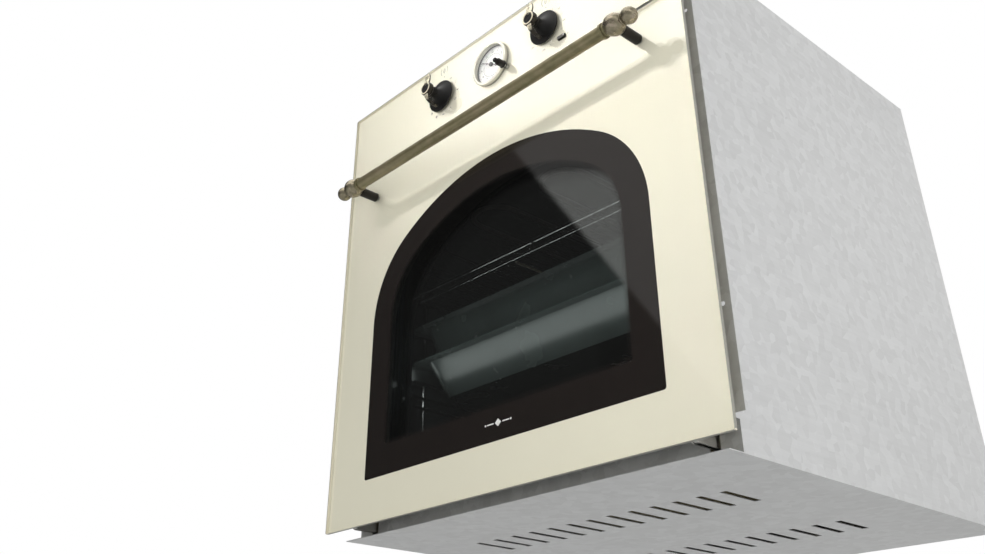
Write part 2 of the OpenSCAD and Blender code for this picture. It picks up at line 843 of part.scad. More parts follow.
skirt_h = 2.4;
skirt_gap = 0.6;
neck_h = 13;
neck_top = 20;
module knob_skirt() {
    color([0.07, 0.07, 0.07]) on_front(0, panel_mid) difference() {
        rotate_extrude() polygon(concat(
            [[0, skirt_gap], [skirt_r - 0.6, skirt_gap], [skirt_r, skirt_gap + 0.6], [skirt_r, skirt_h]],
            [for (t = [0:0.1:1])
                curve_point([skirt_r - 0.4, skirt_h + 0.5], [neck_r + 2, skirt_h + 2],
                            [neck_r, neck_h], t)],
            [[neck_r, neck_top], [0, neck_top]]
        ));
        translate([0, 0, -1]) cylinder(r = knob_shaft_r + running_gap, h = 17);
    }
}

blade_tip = 27.5;
blade_half = 6;
blade_root = 7;
blade_lean = 8;
tail_half = 3;
tail_t = 3.6;
tail = [[26, -7], [24.5, -17.5], [9, -19.4]];
module knob_lever() {
    color([0.63, 0.53, 0.36]) on_front(0, panel_mid) {
        // Ring with a recess for the round insert
        difference() {
            rotate_extrude() polygon(concat(
                [[0, neck_top], [neck_r, neck_top]],
                arc([ring_r - 2, neck_top + 3], 2, -60, 0, 4),
                arc([ring_r - 2.5, knob_top - 2.5], 2.5, 0, 90, 6),
                [[0, knob_top]]
            ));
            translate([0, 0, knob_top - 1.2]) cylinder(r = 6.5, h = 3);
        }
        // Leaf-shaped blade that points up and leans back a little
        difference() {
            translate([0, 0, 22]) rotate([-blade_lean, 0, 0]) linear_extrude(4.5) polygon(concat(
                [[-4, blade_root]],
                [for (t = [0:0.125:1])
                    curve_point([-4, blade_root], [-2 * blade_half + 2, 15], [0, blade_tip], t)],
                [for (t = [0.875:-0.125:0])
                    curve_point([4, blade_root], [2 * blade_half - 2, 15], [0, blade_tip], t)]
            ));
            translate([0, 0, neck_top]) cylinder(r = ring_r - 0.5, h = 20);
        }
        // Tail that curls down and back under the ring
        difference() {
            translate([-tail_half, 0, 0]) rotate([90, 0, 90]) linear_extrude(2 * tail_half) polygon(concat(
                [for (t = [0:0.1:1])
                    let (p = curve_point(tail[0], tail[1], tail[2], t)) [p[1] + tail_t / 2, p[0]]],
                [for (t = [1:-0.1:0])
                    let (p = curve_point(tail[0], tail[1], tail[2], t)) [p[1] - tail_t / 2, p[0]]]
            ));
            translate([0, 0, neck_top]) cylinder(r = ring_r - 0.5, h = 20);
        }
    }
}

module function_knob_skirt() {
    translate([-knob_offset, 0, 0]) knob_skirt();
}

module function_knob_lever() {
    translate([-knob_offset, 0, 0]) knob_lever();
}

module thermostat_knob_skirt() {
    translate([knob_offset, 0, 0]) knob_skirt();
}

module thermostat_knob_lever() {
    translate([knob_offset, 0, 0]) knob_lever();
}

// ---------------------------------------------------------------- door

handle_z = front_bottom + handle_height;
handle_y = glass_y - handle_reach;
handle_screw_r = 2.5;

module door_outer_glass() {
    color([0.8, 0.85, 0.85, 0.35]) difference() {
        plate(front_width, front_bottom, door_top, glass_y, glass_back, 2);
        for (x = [-post_offset, post_offset])
            translate([x, 0, handle_z]) rod_y(handle_screw_r + 0.5, glass_y - 1, glass_back + 1);
    }
}

module door_enamel_print() {
    color([0.93, 0.9, 0.8]) difference() {
        plate(front_width - 1, front_bottom + 0.5, door_top - 0.5, glass_back, print_back, 2);
        translate([0, print_back + 1, front_bottom]) rotate([90, 0, 0]) linear_extrude(4) arch(0);
        for (x = [-post_offset, post_offset])
            translate([x, 0, handle_z]) rod_y(handle_screw_r + 0.5, glass_back - 1, glass_back + 1);
    }
}

module window_border_print() {
    color([0.14, 0.12, 0.11]) translate([0, print_back, front_bottom]) rotate([90, 0, 0])
        linear_extrude(print_thickness) difference() {
            arch(0);
            arch(border_width);
        }
}

middle_glass_y = -4;
middle_glass_t = 3;
module door_middle_glass() {
    color([0.8, 0.85, 0.85, 0.35])
        plate(2 * rail_inner_x - 0.4, rail_bottom + 8, rail_top - 12,
              middle_glass_y, middle_glass_y + middle_glass_t, 4);
}

module door_inner_glass() {
    color([0.8, 0.85, 0.85, 0.35])
        plate(2 * rail_outer_x, rail_bottom + 2, rail_top, inner_glass_y, inner_glass_y + inner_glass_t, 8);
}

module door_frame() {
    color("silver") {
        both_sides() difference() {
            block([rail_inner_x, print_back, rail_bottom], [rail_outer_x, inner_glass_y, rail_top]);
            block([rail_inner_x + rail_wall, print_back + rail_wall, rail_bottom - 1],
                  [rail_outer_x - rail_wall, inner_glass_y - rail_wall, rail_top - rail_wall]);
        }
        // Bottom and top rails between the sides
        difference() {
            block([-rail_inner_x, print_back, rail_bottom], [rail_inner_x, inner_glass_y, rail_bottom + 8]);
            block([-rail_inner_x, print_back + rail_wall, rail_bottom - 1],
                  [rail_inner_x, inner_glass_y - rail_wall, rail_bottom + 8 - rail_wall]);
        }
        difference() {
            block([-rail_inner_x, print_back, rail_top - 12], [rail_inner_x, inner_glass_y, rail_top]);
            block([-rail_inner_x, print_back + rail_wall, rail_top - 12 + rail_wall],
                  [rail_inner_x, inner_glass_y - rail_wall, rail_top - rail_wall]);
            // Vents that let warm air out of the door
            for (i = [-9:9])
                block([i * 22 - 7, -8, rail_top - 3], [i * 22 + 7, 2, rail_top + 1]);
        }
    }
}

module handle_bar() {
    color([0.55, 0.47, 0.33]) translate([0, handle_y, handle_z]) difference() {
        union() {
            rod_x(bar_r, -post_offset, post_offset);
            both_sides() rod_x(bar_r + 1.4, post_offset - ball_r - 4.2, post_offset - ball_r - 0.6);
        }
        both_sides() translate([post_offset, 0, 0]) sphere(ball_r);
    }
}

module handle_posts() {
    color([0.12, 0.1, 0.08]) both_sides() translate([post_offset, 0, handle_z]) difference() {
        union() {
            rod_y(6.25, handle_y, glass_y);
            rod_y(handle_screw_r, glass_y, print_back);
        }
        translate([0, handle_y, 0]) sphere(ball_r);
    }
}

finial_x = 20.5;
module handle_ball_ends() {
    neck = 5.6;
    start = acos(neck / ball_r);
    finish = acos(neck / finial_r);
    color([0.72, 0.65, 0.5]) both_sides() translate([post_offset, handle_y, handle_z]) rotate([0, 90, 0])
        rotate_extrude() polygon(concat(
            [[0, -ball_r]],
            arc([0, 0], ball_r, -88, start, 20),
            [[neck + 1.2, finial_x / 2 + 1.6]],
            arc([0, finial_x], finial_r, -finish, 88, 16),
            [[0, finial_x + finial_r]]
        ));
}

// ---------------------------------------------------------------- door hinges

arm_half = 1.5;
cheek_gap = 2;
cheek_t = 1.5;
nose_r = 7.5;

module hinge_arms() {
    color("silver") both_sides() translate([hinge_x, hinge_y, hinge_z]) difference() {
        union() {
            rod_x(7, -arm_half, arm_half);
            block([-arm_half, -5, 0], [arm_half, 5, 120]);
        }
        rod_x(hinge_pin_r + running_gap, -5, 5);
    }
}

case_back = 150;
case_high = 40;
module hinge_bodies() {
    color("darkgray") both_sides() translate([hinge_x, 0, hinge_z]) {
        for (side = [-1, 1]) {
            outer = side * (cheek_gap + cheek_t / 2);
            translate([outer, hinge_y, 0]) rod_x(nose_r, -cheek_t / 2, cheek_t / 2);
            translate([outer, 0, 0])
                block([-cheek_t / 2, hinge_y, -nose_r], [cheek_t / 2, case_back, nose_r]);
        }
        translate([0, hinge_y, 0]) rod_x(hinge_pin_r, -cheek_gap - cheek_t - 1, cheek_gap + cheek_t + 1);
        // Spring case inside the housing
        difference() {
            block([-5, mouth_y + 2, -nose_r], [5, case_back, case_high - hinge_z]);
            block([-3.5, mouth_y + 1, -nose_r + 1.5], [3.5, case_back - 2, case_high - hinge_z - 1.5]);
            block([-cheek_gap, mouth_y, -nose_r - 1], [cheek_gap, 60, nose_r]);
        }
        translate([0, 0, 12]) rod_y(2.6, mouth_y + 6, case_back - 2);
    }
}

// ---------------------------------------------------------------- drawing

housing_side_left();
housing_side_right();
housing_top_cover();
housing_back_cover();
housing_base();
front_frame();
housing_screws();
cavity_shell();
cavity_back_baffle();
door_gasket();
insulation_blanket();
ring_element();
grill_element();
bottom_element();
fan_motor();
convection_fan();
side_racks();
telescopic_rails_fixed();
telescopic_rails_moving();
deep_tray();
shallow_tray();
wire_shelf();
air_duct();
cooling_fan_housing();
cooling_fan_motor();
cooling_fan_rotor();
lamp_holder();
lamp_bulb();
lamp_cover();
control_panel_glass();
control_panel_bracket();
function_switch();
thermostat();
pilot_lamp();
terminal_block();
cable_gland();
clock_body();
clock_bezel();
clock_dial();
clock_lens();
minute_hand();
hour_hand();
clock_stem_spindle();
clock_stem_knob();
function_knob_skirt();
function_knob_lever();
thermostat_knob_skirt();
thermostat_knob_lever();
door_outer_glass();
door_enamel_print();
window_border_print();
door_middle_glass();
door_inner_glass();
door_frame();
handle_bar();
handle_posts();
handle_ball_ends();
hinge_arms();
hinge_bodies();
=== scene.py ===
import math

import bmesh
import bpy
from mathutils import Matrix, Vector


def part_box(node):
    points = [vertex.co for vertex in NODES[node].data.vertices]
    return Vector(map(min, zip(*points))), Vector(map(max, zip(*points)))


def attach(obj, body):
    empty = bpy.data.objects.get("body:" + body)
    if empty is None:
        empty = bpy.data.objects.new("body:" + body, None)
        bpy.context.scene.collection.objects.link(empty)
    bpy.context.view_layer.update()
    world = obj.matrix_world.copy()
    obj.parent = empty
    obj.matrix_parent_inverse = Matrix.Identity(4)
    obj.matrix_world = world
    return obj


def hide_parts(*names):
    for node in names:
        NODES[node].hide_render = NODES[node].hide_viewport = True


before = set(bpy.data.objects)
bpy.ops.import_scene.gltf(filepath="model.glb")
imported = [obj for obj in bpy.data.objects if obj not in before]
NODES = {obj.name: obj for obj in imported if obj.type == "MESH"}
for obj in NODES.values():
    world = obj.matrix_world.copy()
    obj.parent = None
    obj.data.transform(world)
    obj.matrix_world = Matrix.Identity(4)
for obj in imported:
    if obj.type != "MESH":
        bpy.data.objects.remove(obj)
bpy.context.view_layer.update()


# ---------------------------------------------------------------- places taken from the frame

def centre(node):
    """The middle of a CAD node's box."""
    low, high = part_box(node)
    return (low + high) / 2


PANEL_LOW, PANEL_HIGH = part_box("control_panel_glass")
DOOR_LOW, DOOR_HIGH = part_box("door_outer_glass")
PRINT_LOW, PRINT_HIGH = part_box("window_border_print")
GLASS_Y = DOOR_LOW.y
GLASS_BACK = DOOR_HIGH.y
CONTROL_Z = (PANEL_LOW.z + PANEL_HIGH.z) / 2
KNOB_X = centre("thermostat_knob_skirt").x


# ---------------------------------------------------------------- camera, light and floor

# Where the camera stands, its axes and its lens, worked out from the front being 595 mm square
CAMERA_PLACE = (0.7613, -0.7163, -0.2256)
CAMERA_RIGHT = (0.67418509, 0.73855847, -0.00242089)
CAMERA_UP = (0.37021499, -0.33510681, 0.8663973)
CAMERA_BACK = (0.63907381, -0.58500839, -0.49934943)
CAMERA_LENS = 36.37
CAMERA_SHIFT_Y = -0.0934
FLOOR_Z = -0.30
FLOOR_REACH = 6
FLOOR_THICK = 0.02


def make_camera():
    data = bpy.data.cameras.new("camera")
    data.sensor_width = 36
    data.lens = CAMERA_LENS
    data.shift_y = CAMERA_SHIFT_Y
    data.clip_start = 0.01
    camera = bpy.data.objects.new("camera", data)
    turn = Matrix((CAMERA_RIGHT, CAMERA_UP, CAMERA_BACK)).transposed()
    camera.matrix_world = Matrix.Translation(CAMERA_PLACE) @ turn.to_4x4()
    bpy.context.scene.collection.objects.link(camera)
    bpy.context.scene.camera = camera


def area_light(name, place, target, width, height, watts, colour=(1, 1, 1), mirrored=False, beam=180):
    """A soft box that faces target. It is kept out of mirror reflections unless mirrored."""
    data = bpy.data.lights.new(name, "AREA")
    data.shape = "RECTANGLE"
    data.size = width
    data.size_y = height
    data.energy = watts
    data.spread = math.radians(beam)
    data.color = colour
    light = bpy.data.objects.new(name, data)
    aim = Vector(target) - Vector(place)
    light.rotation_euler = aim.to_track_quat("-Z", "Y").to_euler()
    light.location = place
    light.visible_glossy = mirrored
    light.visible_camera = False
    bpy.context.scene.collection.objects.link(light)


def make_world():
    """White behind the object, and for light and reflections a dim studio with a bright ceiling."""
    world = bpy.data.worlds.new("studio")
    world.use_nodes = True
    bpy.context.scene.world = world
    tree = world.node_tree
    tree.nodes.clear()

    def node(kind, operation=None, inputs=()):
        made = tree.nodes.new(kind)
        if operation:
            made.operation = operation
        for slot, value in enumerate(inputs):
            if isinstance(value, bpy.types.NodeSocket):
                tree.links.new(value, made.inputs[slot])
            elif value is not None:
                made.inputs[slot].default_value = value
        return made

    direction = node("ShaderNodeTexCoord").outputs["Generated"]

    def glow(towards, start, end):
        """From 0 to 1 as the direction turns towards a place, between two cosines."""
        cosine = node("ShaderNodeVectorMath", "DOT_PRODUCT", [direction, Vector(towards).normalized()])
        step = node("ShaderNodeMapRange", None, [cosine.outputs["Value"], start, end, 0.0, 1.0])
        step.interpolation_type = "SMOOTHSTEP"
        return step.outputs["Result"]

    def lit(share, strength, before):
        scaled = node("ShaderNodeMath", "MULTIPLY", [share, strength])
        return node("ShaderNodeMath", "ADD", [scaled.outputs[0], before]).outputs[0]

    ceiling = node("ShaderNodeMath", "MULTIPLY", [glow(*CEILING_LOW), glow(*CEILING_HIGH)])
    ceiling = node("ShaderNodeMath", "MULTIPLY", [ceiling.outputs[0], glow(*CEILING_LEFT)]).outputs[0]
    mirrored = lit(ceiling, CEILING_STRENGTH, MIRRORED_DARK)
    mirrored = lit(glow(CARD_SIDE, *CARD_EDGE), CARD_STRENGTH, mirrored)
    mirrored = lit(glow(*OVERHEAD), OVERHEAD_STRENGTH, mirrored)
    mirrored = lit(glow(*BEHIND), BEHIND_STRENGTH, mirrored)
    around = lit(glow(*SKY), AMBIENT_TOP, AMBIENT)
    path = node("ShaderNodeLightPath")
    strength = node("ShaderNodeMix", None, [path.outputs["Is Glossy Ray"], None, around, mirrored])
    studio = node("ShaderNodeBackground", None, [(*WARM_WHITE, 1), strength.outputs[0]])
    white = node("ShaderNodeBackground", None, [(1, 1, 1, 1), 1.0])
    seen = path.outputs["Is Camera Ray"]
    mixed = node("ShaderNodeMixShader", None, [seen, studio.outputs[0], white.outputs[0]])
    out = node("ShaderNodeOutputWorld")
    tree.links.new(mixed.outputs[0], out.inputs["Surface"])


# Soft light from all round, stronger from above. Each place in the studio's surroundings is a direction
# and the two cosines between which it fades in
WARM_WHITE = (1.0, 0.99, 0.97)
AMBIENT = 0.18
AMBIENT_TOP = 0.25
SKY = ((0, 0, 1), -0.4, 1.0)
# What the glass mirrors: a dark studio, a bright ceiling with slanting soft edges, and a grey card.
# Each of their edges is a plane through the eye, given by the direction of its bright side
MIRRORED_DARK = 0.03
CEILING_LOW = ((0.15, 0.815, 1.0), -0.03, 0.012)
CEILING_HIGH = ((0, -1.45, -1), -0.03, 0.03)
CEILING_LEFT = ((1, -1.28, 0), -0.05, 0.05)
CEILING_STRENGTH = 2.0
CARD_SIDE = (1.465, -0.6217, 1.0)
CARD_EDGE = (-0.004, 0.004)
CARD_STRENGTH = 0.3
# A soft light straight above, too high for the flat glass to mirror it to the camera
OVERHEAD = ((-0.15, -0.05, 1.0), 0.82, 0.97)
OVERHEAD_STRENGTH = 1.8
# A broad glow behind the oven, which shows in the metal of its back and sides
BEHIND = ((0.4, 1, 0.2), 0.1, 1.0)
BEHIND_STRENGTH = 0.6


def make_studio():
    make_camera()
    make_world()
    middle = (0, 0, 0.32)
    # The key is a narrow beam on the upper part of the front, and throws the handle's shadow
    area_light("key", (-1.65, -2.55, 2.60), (0.08, 0, 0.64), 0.16, 0.16, 1.05, (1.0, 0.985, 0.96), beam=15)
    area_light("front_fill", (-1.0, -3.0, 0.6), middle, 2.4, 1.8, 29.5, (0.98, 0.99, 1.0))
    area_light("right_fill", (3.0, 0.4, 0.9), middle, 2.0, 2.0, 34)
    area_light("left_fill", (-3.0, 1.0, 1.2), middle, 2.0, 2.0, 14)
    area_light("back_fill", (0.8, 3.2, 1.8), middle, 2.0, 2.0, 26)
    area_light("low_fill", (0.6, -0.9, -0.27), (0, 0.1, 0.0), 1.2, 1.2, 8)
    # A strip just inside the door lights the fronts of the trays
    area_light("cavity_light", (0, 0.028, 0.198), (0, 0.080, 0.225), 0.42, 0.03, 0.115, mirrored=True)
    slab = box_faces((-FLOOR_REACH, -FLOOR_REACH, FLOOR_Z - FLOOR_THICK), (FLOOR_REACH, FLOOR_REACH, FLOOR_Z))
    floor = mesh_object("floor", *slab)
    pale = clouded("pale_floor", 3.0, 4, (0.78, 0.78, 0.77), (0.84, 0.84, 0.83), (0.8, 0.8))
    floor.data.materials.append(pale)


# ---------------------------------------------------------------- mesh helpers

# Points nearer to each other than this are one point
TOUCHING = 1e-7


def mesh_object(name, points, faces):
    """A new object from points in metres."""
    mesh = bpy.data.meshes.new(name)
    mesh.from_pydata([tuple(p) for p in points], [], faces)
    mesh.validate()
    mesh.update()
    made = bpy.data.objects.new(name, mesh)
    bpy.context.scene.collection.objects.link(made)
    return made


def smooth(mesh, angle):
    """Shades a mesh smooth, apart from edges sharper than the angle."""
    for polygon in mesh.polygons:
        polygon.use_smooth = True
    mesh.set_sharp_from_angle(angle=math.radians(angle))


def box_faces(low, high):
    points = [(x, y, z) for x in (low[0], high[0]) for y in (low[1], high[1]) for z in (low[2], high[2])]
    faces = [(0, 1, 3, 2), (4, 6, 7, 5), (0, 4, 5, 1), (2, 3, 7, 6), (0, 2, 6, 4), (1, 5, 7, 3)]
    return points, faces


def joined(parts):
    """One list of points and faces from several."""
    points, faces = [], []
    for part_points, part_faces in parts:
        start = len(points)
        points += [tuple(p) for p in part_points]
        faces += [tuple(i + start for i in face) for face in part_faces]
    return points, faces


def lathe(profile, place, towards, steps=64):
    """Turns (radius, height) pairs round an axis at place, as points and faces.

    A pair with no radius is one point on the axis.
    """
    turn = Vector(towards).to_track_quat("Z", "Y").to_matrix()
    points, rows = [], []
    for radius, height in profile:
        if radius < TOUCHING:
            rows.append([len(points)] * steps)
            points.append(Vector(place) + turn @ Vector((0, 0, height)))
            continue
        rows.append(list(range(len(points), len(points) + steps)))
        for k in range(steps):
            a = 2 * math.pi * k / steps
            points.append(Vector(place) + turn @ Vector((radius * math.cos(a), radius * math.sin(a), height)))
    faces = []
    for low, high in zip(rows, rows[1:]):
        for k in range(steps):
            n = (k + 1) % steps
            face = list(dict.fromkeys((low[k], low[n], high[n], high[k])))
            if len(face) > 2:
                faces.append(tuple(face))
    return points, faces


def ring_lathe(profile, place, towards, steps=64):
    """Like lathe, but the profile is a closed loop that stays off the axis."""
    return lathe(list(profile) + [profile[0]], place, towards, steps)


def bead(radius, height, width, depth, place, towards):
    """A fine turned ring with an oval section."""
    loop = [(radius + width * math.cos(k * math.pi / 6), height + depth * math.sin(k * math.pi / 6))
            for k in range(12)]
    return ring_lathe(loop, place, towards, 48)


def sweep(spine, sides, ups, widths, heights, power, steps):
    """A closed bar along spine, with a superellipse as its section.

    The section has a half width and a half height at each point of the spine.
    """
    points, faces = [], []
    for p, side, up, width, height in zip(spine, sides, ups, widths, heights):
        for k in range(steps):
            a = 2 * math.pi * k / steps
            c, s = math.cos(a), math.sin(a)
            u = math.copysign(abs(c) ** (2 / power), c) * width
            v = math.copysign(abs(s) ** (2 / power), s) * height
            points.append(Vector(p) + Vector(side) * u + Vector(up) * v)
    rings = len(spine)
    for r in range(rings - 1):
        for k in range(steps):
            n = (k + 1) % steps
            faces.append((r * steps + k, r * steps + n, (r + 1) * steps + n, (r + 1) * steps + k))
    faces.append(tuple(range(steps))[::-1])
    faces.append(tuple((rings - 1) * steps + k for k in range(steps)))
    return points, faces


def outward(made):
    """Makes all faces of a closed mesh look outwards."""
    work = bmesh.new()
    work.from_mesh(made.data)
    bmesh.ops.remove_doubles(work, verts=work.verts, dist=TOUCHING)
    bmesh.ops.recalc_face_normals(work, faces=work.faces)
    work.to_mesh(made.data)
    work.free()
    return made


def finish_piece(made, body, material):
    """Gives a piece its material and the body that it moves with."""
    made.data.materials.clear()
    made.data.materials.append(material)
    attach(made, body)


def curve_point(a, b, c, t):
    """A point of a curve with three control points."""
    return [(1 - t) ** 2 * p + 2 * t * (1 - t) * q + t * t * r for p, q, r in zip(a, b, c)]


# ---------------------------------------------------------------- shader helpers

class Shader:
    """Builds one node material. A value in inputs is a plain value or another node's output."""

    def __init__(self, name):
        self.material = bpy.data.materials.new(name)
        self.material.use_nodes = True
        self.tree = self.material.node_tree
        self.tree.nodes.clear()
        coordinates = self.node("ShaderNodeTexCoord")
        self.place = coordinates.outputs["Object"]
        self.normal = coordinates.outputs["Normal"]

    def node(self, kind, inputs=(), **settings):
        made = self.tree.nodes.new(kind)
        for key, value in settings.items():
            setattr(made, key, value)
        for key, value in dict(inputs).items():
            if isinstance(value, bpy.types.NodeSocket):
                self.tree.links.new(value, made.inputs[key])
            else:
                made.inputs[key].default_value = value
        return made

    def noise(self, scale, detail=3.0, roughness=0.55, stretch=None):
        vector = self.place
        if stretch:
            vector = self.node("ShaderNodeMapping", {"Vector": vector, "Scale": stretch}).outputs[0]
        inputs = {"Vector": vector, "Scale": scale, "Detail": detail, "Roughness": roughness}
        return self.node("ShaderNodeTexNoise", inputs).outputs["Fac"]

    def cells(self, scale, output="Distance"):
        return self.node("ShaderNodeTexVoronoi", {"Vector": self.place, "Scale": scale}).outputs[output]

    def waves(self, scale, direction):
        inputs = {"Vector": self.place, "Scale": scale, "Distortion": 0.0}
        return self.node("ShaderNodeTexWave", inputs, bands_direction=direction).outputs["Fac"]

    def spread(self, fac, low, high, start=0.0, end=1.0):
        """Carries fac from the range start to end over to the range low to high."""
        inputs = {"Value": fac, "From Min": start, "From Max": end, "To Min": low, "To Max": high}
        return self.node("ShaderNodeMapRange", inputs).outputs["Result"]

    def math(self, operation, a, b=0.0):
        return self.node("ShaderNodeMath", {0: a, 1: b}, operation=operation).outputs[0]

    def ramp(self, fac, stops):
        made = self.node("ShaderNodeValToRGB", {"Fac": fac})
        points = made.color_ramp.elements
        while len(points) < len(stops):
            points.new(0.5)
        for point, (position, colour) in zip(points, stops):
            point.position = position
            point.color = (*colour, 1)
        return made.outputs["Color"]

    def blend(self, fac, a, b):
        """Mixes two colours. The colour version of the node keeps its sockets at 6 and 7."""
        made = self.node("ShaderNodeMix", data_type="RGBA")
        for socket, value in ((0, fac), (6, a), (7, b)):
            if isinstance(value, bpy.types.NodeSocket):
                self.tree.links.new(value, made.inputs[socket])
            else:
                made.inputs[socket].default_value = value if socket == 0 else (*value, 1)
        return made.outputs[2]

    def bump(self, height, strength, distance):
        inputs = {"Height": height, "Strength": strength, "Distance": distance}
        return self.node("ShaderNodeBump", inputs).outputs["Normal"]

    def principled(self, **inputs):
        named = {key.replace("_", " "): value for key, value in inputs.items()}
        return self.node("ShaderNodeBsdfPrincipled", named).outputs[0]

    def done(self, surface):
        out = self.node("ShaderNodeOutputMaterial")
        self.tree.links.new(surface, out.inputs["Surface"])
        return self.material


def scaled(colour, by):
    """A lighter or darker version of a colour."""
    return tuple(c * by for c in colour)


# ---------------------------------------------------------------- materials

CREAM = (0.80, 0.760, 0.625)
BROWN = (0.0135, 0.0105, 0.0095)
BRASS = (0.33, 0.275, 0.180)
PALE_BRASS = (0.42, 0.350, 0.285)
# The colour of the levers' front faces, made light as a painted reflection
LIT_FRONT_BRASS = (0.72, 0.66, 0.50)
ZINC = (0.66, 0.67, 0.68)
TRAY_GREEN = (0.036, 0.043, 0.041)


def clouded(name, scale, detail, dark, light, rough, bump=None, **more):
    """A surface whose colour, gloss and relief all drift with one noise."""
    s = Shader(name)
    cloud = s.noise(scale, detail)
    if bump:
        more["Normal"] = s.bump(cloud, *bump)
    tone = s.ramp(cloud, [(0.3, dark), (0.7, light)])
    return s.done(s.principled(Base_Color=tone, Roughness=s.spread(cloud, *rough), **more))


def fired_enamel(name, colour, grain=0.03):
    """An opaque print fired on glass: even, with a very faint cloudiness and the pores of a screen print."""
    s = Shader(name)
    cloud = s.noise(9.0, 3)
    pores = s.noise(2600.0, 1)
    fac = s.math("ADD", s.spread(cloud, 0.0, 0.7), s.spread(pores, 0.0, 0.3))
    tone = s.ramp(fac, [(0.25, scaled(colour, 1 - grain)), (0.75, scaled(colour, 1 + grain))])
    rough = s.spread(pores, 0.38, 0.5)
    return s.done(s.principled(Base_Color=tone, Roughness=rough, Specular_IOR_Level=0.04,
                               Normal=s.bump(pores, 0.05, 0.00005)))


def schlick(s, base, reach):
    """The share that a pane mirrors at each angle, from its share seen square on."""
    facing = s.node("ShaderNodeLayerWeight", {"Blend": 0.5}).outputs["Facing"]
    power = s.math("POWER", facing, 5.0)
    return s.math("ADD", s.math("MULTIPLY", power, reach), base)


def sheet_glass(name, tint, one_side=True, base_share=0.043, edge=(0.30, 0.30, 0.265)):
    """A clear pane with milky ground edges. With one_side, only the face towards -Y mirrors."""
    s = Shader(name)
    parts = s.node("ShaderNodeSeparateXYZ", {"Vector": s.normal})
    clear = s.node("ShaderNodeBsdfTransparent", {"Color": (*tint, 1)}).outputs[0]
    wiped = s.spread(s.noise(7.0, 4), 0.008, 0.03)
    mirror = s.node("ShaderNodeBsdfGlossy", {"Color": (1, 1, 1, 1), "Roughness": wiped}).outputs[0]
    share = schlick(s, base_share, 0.9)
    if one_side:
        front = s.math("LESS_THAN", parts.outputs["Y"], 0.5)
        share = s.math("MULTIPLY", share, front)
    pane = s.node("ShaderNodeMixShader", {0: share, 1: clear, 2: mirror}).outputs[0]
    grind = s.noise(1500.0, 2)
    ground = s.principled(Base_Color=s.ramp(grind, [(0.3, scaled(edge, 0.85)), (0.7, scaled(edge, 1.15))]),
                          Roughness=s.spread(grind, 0.3, 0.5))
    flat = s.math("GREATER_THAN", s.math("ABSOLUTE", parts.outputs["Y"]), 0.7)
    return s.done(s.node("ShaderNodeMixShader", {0: flat, 1: ground, 2: pane}).outputs[0])


def small_glass(name, tint, mirror_share=0.05):
    """Thin clear glass for the lens, the lamp cover and the bulb."""
    s = Shader(name)
    clear = s.node("ShaderNodeBsdfTransparent", {"Color": (*tint, 1)}).outputs[0]
    ripple = s.bump(s.noise(60.0, 2), 0.1, 0.0004)
    gloss_and_painted_shine = {"Color": (1, 1, 1, 1), "Roughness": 0.03, "Normal": ripple}
    mirror = s.node("ShaderNodeBsdfGlossy", gloss_and_painted_shine).outputs[0]
    share = schlick(s, mirror_share, 0.85)
    return s.done(s.node("ShaderNodeMixShader", {0: share, 1: clear, 2: mirror}).outputs[0])


def antique_brass(name, colour, grain, dark=0.45, rough=0.3, stretch=(1, 1, 1), metallic=0.8):
    """Brushed brass with an olive brown patina in patches, and fine scratches along the grain."""
    s = Shader(name)
    patches = s.noise(55.0, 5, 0.6)
    scratches = s.noise(grain, 2, 0.5, stretch)
    clouds = s.noise(14.0, 3)
    worn = s.math("ADD", s.spread(patches, 0.0, 0.5), s.spread(scratches, 0.0, 0.5))
    olive = (colour[0] * 0.80, colour[1] * 0.86, colour[2] * 0.74)
    stops = [(0.28, scaled(olive, dark)), (0.46, scaled(olive, 0.85)), (0.72, scaled(colour, 1.12))]
    tone = s.ramp(worn, stops)
    tone = s.blend(s.spread(clouds, 0.0, 0.35, 0.35, 0.7), tone, olive)
    roughness = s.spread(worn, rough + 0.16, rough - 0.06, 0.25, 0.75)
    return s.done(s.principled(Base_Color=tone, Metallic=metallic, Roughness=roughness,
                               Normal=s.bump(scratches, 0.12, 0.00012)))


def lever_brass(name):
    """Antique brass, bright where it faces the front as a painted reflection, and almost black on its sides
    and back as painted shade.
    """
    s = Shader(name)
    front = s.node("ShaderNodeSeparateXYZ", {"Vector": s.normal}).outputs["Y"]
    patches = s.noise(160.0, 4, 0.6)
    edge = s.math("ADD", front, s.spread(patches, -0.12, 0.12))
    # Painted reflection and shade: near 1 where a face looks to the front, 0 on the sides and back
    gloss_and_painted_shine = s.spread(edge, 1.0, 0.0, -0.86, -0.6)
    # The bright tone is a painted reflection on the front faces, the near-black one below it painted shade on
    # the sides and back
    bright = s.ramp(patches, [(0.3, scaled(LIT_FRONT_BRASS, 0.85)), (0.7, scaled(LIT_FRONT_BRASS, 1.15))])
    dark = s.ramp(patches, [(0.3, (0.012, 0.010, 0.008)), (0.7, (0.03, 0.025, 0.018))])
    tone = s.blend(gloss_and_painted_shine, dark, bright)
    metal = s.spread(gloss_and_painted_shine, 0.3, 0.45)
    return s.done(s.principled(Base_Color=tone, Metallic=metal, Roughness=s.spread(patches, 0.2, 0.36),
                               Normal=s.bump(patches, 0.06, 0.0001)))


def moulded_plastic(name, colour, rough=0.42, texture=0.12):
    """Satin moulded plastic with a fine spark-eroded texture."""
    s = Shader(name)
    fine = s.noise(1400.0, 2)
    broad = s.noise(30.0, 3)
    tone = s.ramp(broad, [(0.3, scaled(colour, 0.88)), (0.7, scaled(colour, 1.12))])
    return s.done(s.principled(Base_Color=tone, Roughness=s.spread(fine, rough - 0.05, rough + 0.07),
                               Specular_IOR_Level=0.35, Normal=s.bump(fine, texture, 0.00008)))


